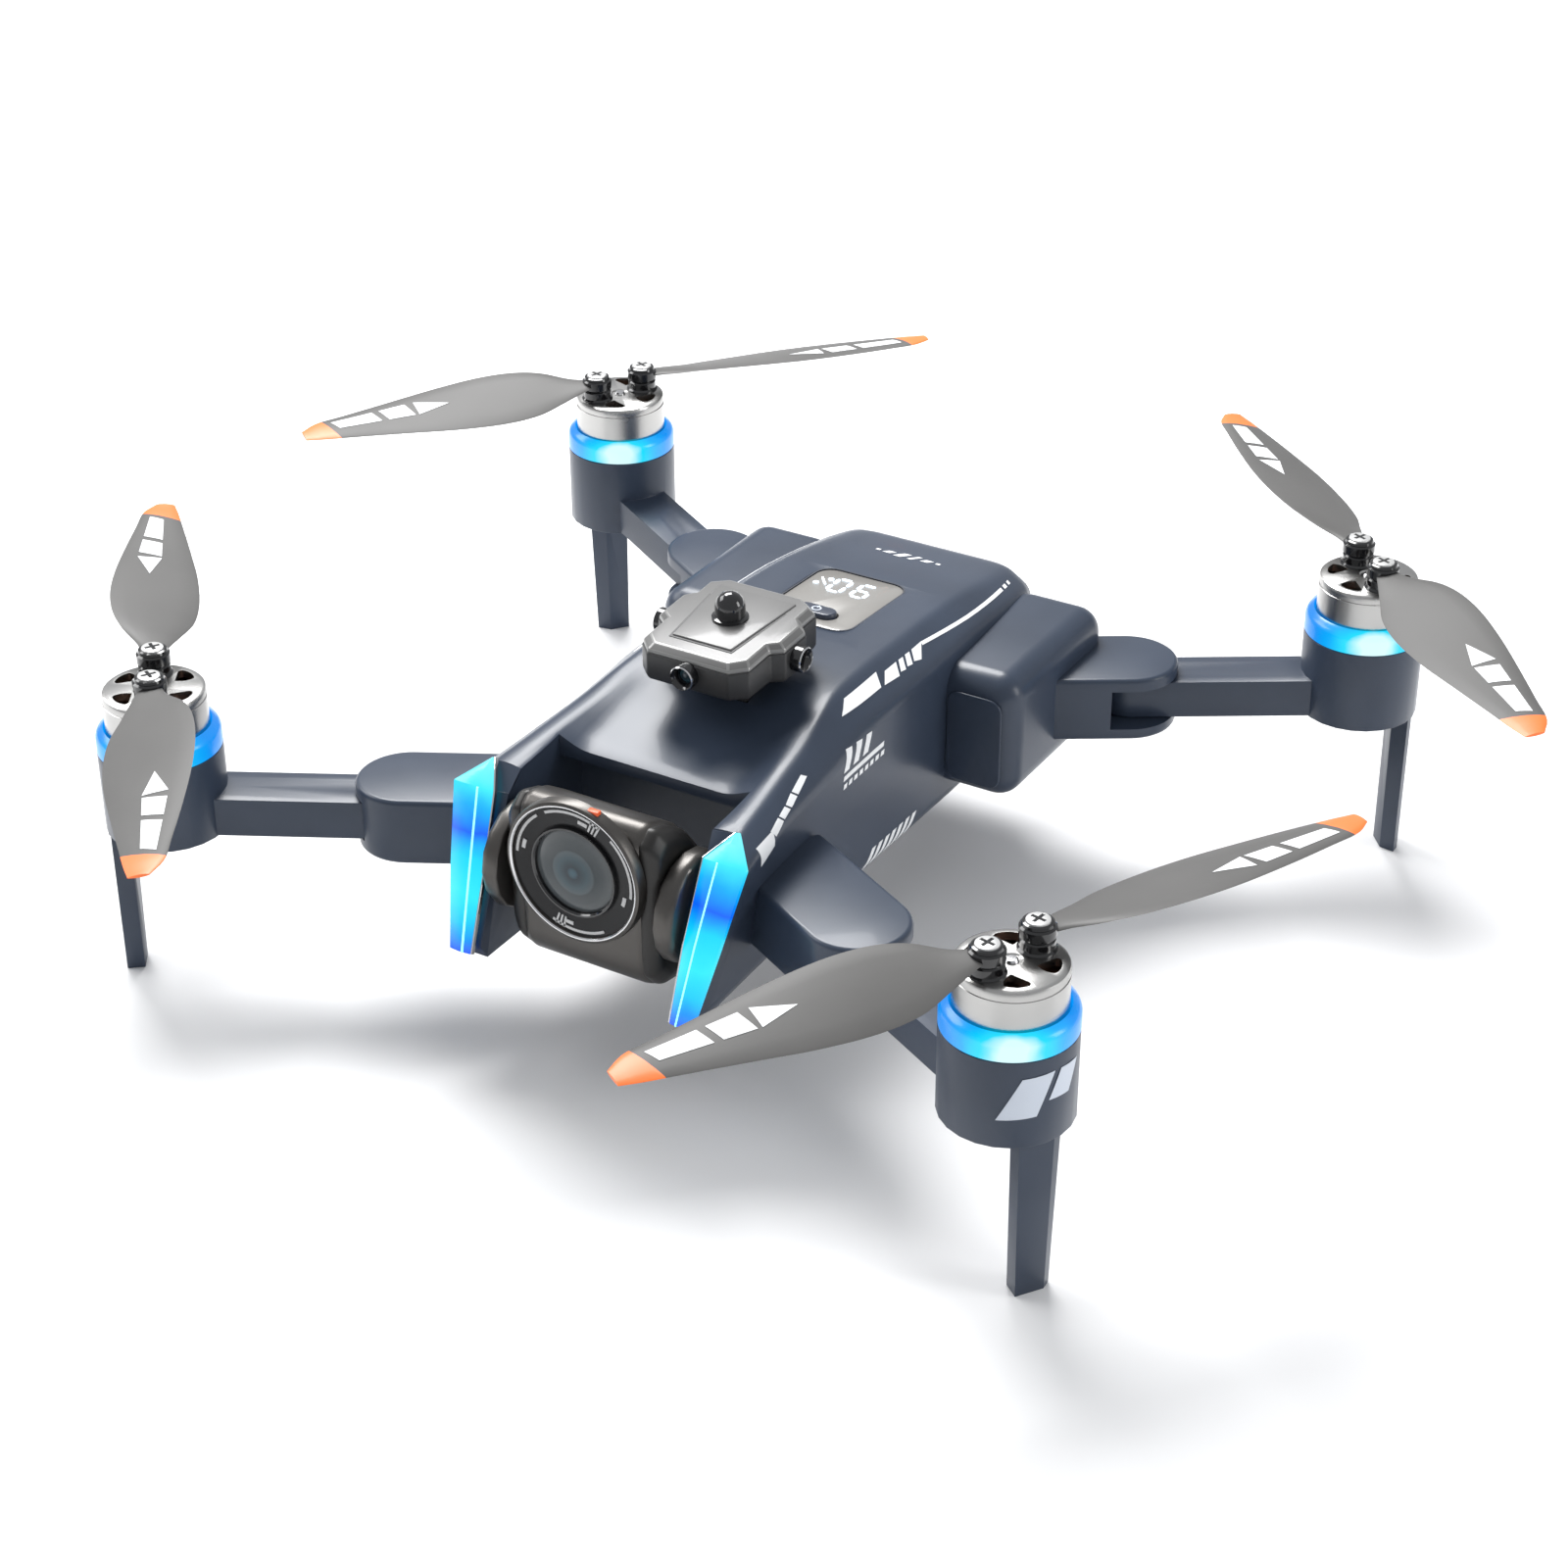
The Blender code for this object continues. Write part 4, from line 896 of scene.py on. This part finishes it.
def make_blade(tag, letter, at, height, heading, spin):
    rings = []
    for along in np.linspace(BLADE_ROOT, BLADE_TIP, 56):
        lead, trail, _ = blade_at(along)
        middle, half = (lead + trail) / 2, (lead - trail) / 2
        thick = BLADE_THICKNESS * (1.0 if along < 62 else 0.7)
        rings.append([blade_point(along, middle + half * u, w * thick, spin) for u, w in SECTION])
    name = "blade_skin_%s_%s" % (tag, letter)
    blade = loft(name, rings)
    bm = bmesh.new()
    bm.from_mesh(blade.data)
    cut = Vector((1.0, -0.32 * spin, 0)).normalized()
    bmesh.ops.bisect_plane(bm, geom=bm.verts[:] + bm.edges[:] + bm.faces[:],
                           plane_co=(ORANGE_FROM * MM, 0, 0), plane_no=cut)
    edge = ORANGE_FROM * MM * cut.x
    for face in bm.faces:
        face.material_index = int(face.calc_center_median().dot(cut) > edge)
    bm.to_mesh(blade.data)
    bm.free()
    colours = [face.material_index for face in blade.data.polygons]
    place(blade, (*at, height), heading)
    body = "blade_%s_%s" % (tag, letter)
    settle(blade, body, (BLADE, ORANGE), (body,), 60)
    blade.data.polygons.foreach_set("material_index", colours)
    hub = turned("hub_%s_%s" % (tag, letter), [(1.3, 1.1), (2.7, 1.1), (3.1, 0.8), (3.1, -0.8), (2.8, -1.1),
                                               (1.3, -1.1)], 48)
    settle(place(hub, (*at, height), heading), body, BLACK)
    verts, faces = [], []
    for outline in print_outlines():
        add_print(verts, faces, outline, spin)
    prints = from_lists("blade_print_%s_%s" % (tag, letter), verts, faces)
    settle(place(prints, (*at, height), heading), body, WHITE, (), 60)


def print_outlines():
    """The three white shapes along a blade as (along, low, high) rows; along is in millimetres."""
    def edges(along):
        share = (along - 33.0) / 26.0
        return -0.9 - 0.2 * share, 0.2 + 3.4 * (1 - 0.62 * max(0, (along - 40.0) / 19.0))
    shapes = []
    for first, last, lean in ((33.0, 40.2, 0.0), (41.6, 47.4, 1.2), (49.0, 58.2, 1.2)):
        rows = []
        for k in range(7):
            t = k / 6
            along = first + (last - first) * t
            low, high = edges(along)
            if first < 34:
                low, high = 1.2 - 2.2 * t, 1.2 + 2.4 * t
            rows.append((along, low, high, lean))
        shapes.append(rows)
    return shapes


def grid_slab(verts, faces, lower, upper):
    """Adds a thin closed slab between two equal grids of points."""
    first, wide, count = len(verts), len(lower[0]), len(lower)
    layer = wide * count
    for grid in (lower, upper):
        verts += [point for row in grid for point in row]
    for i in range(count - 1):
        for k in range(wide - 1):
            a = first + i * wide + k
            quad = (a, a + 1, a + wide + 1, a + wide)
            faces.append(quad)
            faces.append(tuple(v + layer for v in quad))
    rim = [first + k for k in range(wide)] + [first + i * wide + wide - 1 for i in range(1, count)]
    rim += [first + (count - 1) * wide + k for k in range(wide - 2, -1, -1)]
    rim += [first + i * wide for i in range(count - 2, 0, -1)]
    for a, b in zip(rim, rim[1:] + rim[:1]):
        faces.append((a, b, b + layer, a + layer))


def add_print(verts, faces, rows, spin):
    grids = []
    for lift in (0.03, 0.09):
        grid = []
        for along, low, high, lean in rows:
            line = []
            for k in range(5):
                t = k / 4
                across = low + (high - low) * t
                x = along + lean * (t - 0.5)
                line.append(blade_point(x, across, skin_lift(x, across) + lift, spin))
            grid.append(line)
        grids.append(grid)
    grid_slab(verts, faces, *grids)


def cross_outline(reach, half):
    corner = [(half, half), (half, reach), (-half, reach)]
    points = []
    for turn in range(4):
        c, s = direction(90 * turn)
        points += [(x * c - y * s, x * s + y * c) for x, y in corner]
    return points


def make_screw(tag, letter, at, base, heading, body):
    head = [(0, 1.05), (1.5, 1.05), (2.0, 0.9), (2.15, 0.5), (2.15, 0.1), (0.9, 0.1), (0.9, -3.0), (0, -3.0)]
    screw = turned("screw_%s_%s" % (tag, letter), head, 40)
    combine(screw, [prism("slot", cross_outline(1.4, 0.34), 0.5, 2)])
    settle(place(screw, (*at, base), heading + 20), body, SCREW_HEAD,
           ("blade_screw_%s_%s" % (tag, letter),))
    cross = prism("cross_%s_%s" % (tag, letter), cross_outline(1.35, 0.3), 0.4, 0.95)
    settle(place(cross, (*at, base), heading + 20), body, BLACK)
    collar = turned("collar_%s_%s" % (tag, letter), [(2.2, 0.7), (2.6, 0.55), (2.75, 0.1), (2.2, 0.1)], 40)
    settle(place(collar, (*at, base), heading), body, BLACK)


# ---------------------------------------------------------------- printed marks

# quads on the right flank as (y, z) corners, mirrored onto the left
NOSE_BARS = (((-53.7, 31.0), (-52.6, 26.9), (-47.6, 28.4), (-47.6, 31.2)),
             ((-48.0, 31.25), (-46.9, 29.9), (-43.4, 31.0), (-44.3, 31.9)),
             ((-43.8, 31.95), (-42.9, 31.1), (-40.2, 31.6), (-41.1, 32.4)),
             ((-40.6, 32.45), (-39.7, 31.7), (-36.8, 32.3), (-37.7, 33.1)),
             ((-37.2, 33.15), (-36.3, 32.4), (-31.6, 33.4), (-32.6, 34.0)))
ROOF_BARS = (((-14.9, 36.7), (-11.2, 38.2), (0.9, 38.0), (-1.2, 36.4)),
             ((0.0, 36.3), (3.0, 37.4), (7.4, 37.25), (5.2, 35.9)),
             ((6.4, 36.1), (8.4, 37.2), (10.0, 37.1), (8.0, 35.9)),
             ((9.0, 36.0), (11.0, 37.1), (12.6, 37.0), (10.6, 35.8)),
             ((11.6, 35.9), (13.6, 37.0), (17.6, 36.9), (13.6, 35.5)),
             ((17.0, 36.5), (17.4, 36.9), (51.0, 33.5), (50.8, 33.1)),
             ((51.8, 33.0), (52.0, 33.4), (53.4, 33.25), (53.2, 32.85)),
             ((54.2, 32.75), (54.4, 33.15), (55.4, 33.05), (55.2, 32.65)))


def flank_quads():
    """Generic badge, dashes and hatching low on the flank."""
    quads = [((-20.6 + 3.6 * k, 28.8), (-19.2 + 3.6 * k, 33.0 - 0.2 * k), (-17.2 + 3.6 * k, 32.8 - 0.2 * k),
              (-18.6 + 3.6 * k, 28.8)) for k in range(3)]
    quads.append(((-20.6, 27.0), (-20.4, 28.0), (-5.2, 28.0), (-5.4, 27.0)))
    quads += [((-20.4 + 2.0 * k, 25.2), (-20.2 + 2.0 * k, 26.2), (-19.0 + 2.0 * k, 26.2),
               (-19.2 + 2.0 * k, 25.2)) for k in range(8)]
    quads += [((-9.0 + 2.5 * k, 1.2), (-6.6 + 2.5 * k, 5.2), (-5.2 + 2.5 * k, 5.2), (-7.6 + 2.5 * k, 1.2))
              for k in range(7)]
    return quads


TAIL_QUADS = (((-7.2, 50.6), (-7.2, 51.4), (-6.3, 51.4), (-6.3, 50.6)),
              ((-5.5, 50.3), (-4.6, 51.7), (-3.0, 51.7), (-3.9, 50.3)),
              ((-2.8, 49.7), (-1.4, 52.3), (0.2, 52.3), (-1.2, 49.7)),
              ((0.3, 49.7), (1.7, 52.3), (2.6, 52.3), (1.2, 49.7)),
              ((3.0, 50.3), (3.9, 51.7), (5.5, 51.7), (4.6, 50.3)),
              ((6.3, 50.6), (6.3, 51.4), (7.2, 51.4), (7.2, 50.6)))
POD_QUADS = (((-72.0, 16.7), (-51.8, 24.5), (-23.6, 24.9), (-39.0, 17.1)),
             ((-28.5, 19.6), (-17.0, 24.9), (5.0, 24.6), (-6.8, 19.4)))


def bilinear(corners, project, lift, steps=8):
    """Grid of surface points filling the quad whose corners are given in the mark's own plane."""
    a, b, c, d = (Vector((*p, 0)) for p in corners)
    grid = []
    for i in range(steps + 1):
        t = i / steps
        start, end = a.lerp(b, t), d.lerp(c, t)
        line = []
        for k in range(steps + 1):
            at = start.lerp(end, k / steps)
            point, normal = project(at.x, at.y)
            line.append(tuple(point + normal * lift))
        grid.append(line)
    return grid


def print_marks(name, quads, project, body, mat):
    verts, faces = [], []
    for corners in quads:
        grid_slab(verts, faces, bilinear(corners, project, 0.02), bilinear(corners, project, 0.07))
    marks = from_lists(name, verts, faces)
    settle(marks, body, mat, (), 60)


def make_marks(shell):
    tree = BVHTree.FromPolygons([v.co / MM for v in shell.data.vertices],
                                [tuple(face.vertices) for face in shell.data.polygons])

    def flank(side):
        def project(y, z):
            point, normal, _, _ = tree.ray_cast(Vector((side * 60, y, z)), Vector((-side, 0, 0)))
            return point, normal
        return project

    def roof(x, y):
        point, normal, _, _ = tree.ray_cast(Vector((x, y, 60)), Vector((0, 0, -1)))
        return point, normal

    for side in (-1, 1):
        tag = "left" if side < 0 else "right"
        print_marks("marks_nose_" + tag, NOSE_BARS, flank(side), "airframe", WHITE)
        print_marks("marks_roof_" + tag, ROOF_BARS, flank(side), "airframe", WHITE)
        print_marks("marks_flank_" + tag, flank_quads(), flank(side), "airframe", WHITE)
    print_marks("marks_tail", TAIL_QUADS, roof, "airframe", WHITE)
    centre = pod_centre(1, "front")

    def pod(angle, z):
        c, s = direction(angle)
        return Vector((centre[0] + POD_RADIUS * c, centre[1] + POD_RADIUS * s, z)), Vector((c, s, 0))

    print_marks("marks_pod", POD_QUADS, pod, "arm_front_right", PALE)


# ---------------------------------------------------------------- parts inside and below

def make_inside():
    adopt("belly_plate", "belly_skin", NAVY_DEEP, 0.4, 2)
    adopt("flow_sensor", "flow_lens", BLACK, 0.2, 2)
    adopt("flight_board", "board_skin", BOARD, 0.2, 1)
    adopt("battery", "battery_skin", BATTERY, 0.4, 2)


# ---------------------------------------------------------------- floor, lights, camera

def make_stage():
    floor = from_lists("floor", [(-4000, -4000, GROUND), (4000, -4000, GROUND), (4000, 4000, GROUND),
                                 (-4000, 4000, GROUND)], [(0, 1, 2, 3)])
    mat, tree, shader = node_material("pale_floor")
    drift = noise_of(tree, 3.0, 2.0)
    tint = ramp_of(tree, drift.outputs["Fac"], ((0.3, (0.88, 0.88, 0.885)), (0.7, (0.9, 0.9, 0.9))))
    tree.links.new(tint.outputs["Color"], shader.inputs["Base Color"])
    shader.inputs["Roughness"].default_value = 0.9
    shader.inputs["Specular IOR Level"].default_value = 0.1
    floor.data.materials.append(mat)
    world = bpy.data.worlds.new("studio")
    bpy.context.scene.world = world
    world.use_nodes = True
    back = world.node_tree.nodes["Background"]
    back.inputs["Color"].default_value = (0.95, 0.97, 1.0, 1)
    back.inputs["Strength"].default_value = 0.55


def add_light(name, location, target, size, energy, colour=(1, 1, 1)):
    data = bpy.data.lights.new(name, "AREA")
    data.shape = "RECTANGLE"
    data.size, data.size_y = size
    data.energy = energy
    data.color = colour
    made = bpy.data.objects.new(name, data)
    made.location = location
    made.rotation_euler = (Vector(target) - Vector(location)).to_track_quat("-Z", "Y").to_euler()
    bpy.context.scene.collection.objects.link(made)


def make_lights():
    add_light("overhead", (-0.45, 0.42, 0.85), (0, -0.02, 0.03), (0.6, 0.4), 15.0)
    add_light("left_key", (-0.8, -0.1, 0.6), (0, 0, 0.02), (0.6, 0.4), 4.0)
    add_light("right_edge", (0.9, 0.2, 0.35), (0, 0, 0.02), (0.3, 0.5), 2.5)


CAMERA_PLACE_M = (0.27016, -0.44497, 0.31266)
CAMERA_AZIMUTH = 31.10
CAMERA_ELEVATION = 30.31
CAMERA_ROLL = -0.22
CAMERA_LENS_MM = 72.39


def make_view():
    data = bpy.data.cameras.new("view")
    data.lens = CAMERA_LENS_MM
    data.sensor_width = 36.0
    data.clip_start = 0.01
    made = bpy.data.objects.new("view", data)
    a, e = math.radians(CAMERA_AZIMUTH), math.radians(CAMERA_ELEVATION)
    back = Vector((math.sin(a) * math.cos(e), -math.cos(a) * math.cos(e), math.sin(e)))
    made.location = CAMERA_PLACE_M
    roll = Matrix.Rotation(math.radians(CAMERA_ROLL), 3, "Z").to_quaternion()
    turn = (-back).to_track_quat("-Z", "Y") @ roll
    made.rotation_mode = "QUATERNION"
    made.rotation_quaternion = turn
    bpy.context.scene.collection.objects.link(made)
    bpy.context.scene.camera = made
    bpy.context.scene.view_settings.view_transform = "Standard"


make_view()
make_stage()
make_lights()
hull = make_shell()
make_marks(hull)
make_display()
for side in (-1, 1):
    make_strip(side)
make_module()
make_camera()
for tag, side, end, *turns in ARMS:
    make_arm(tag, side, end, turns)
make_inside()
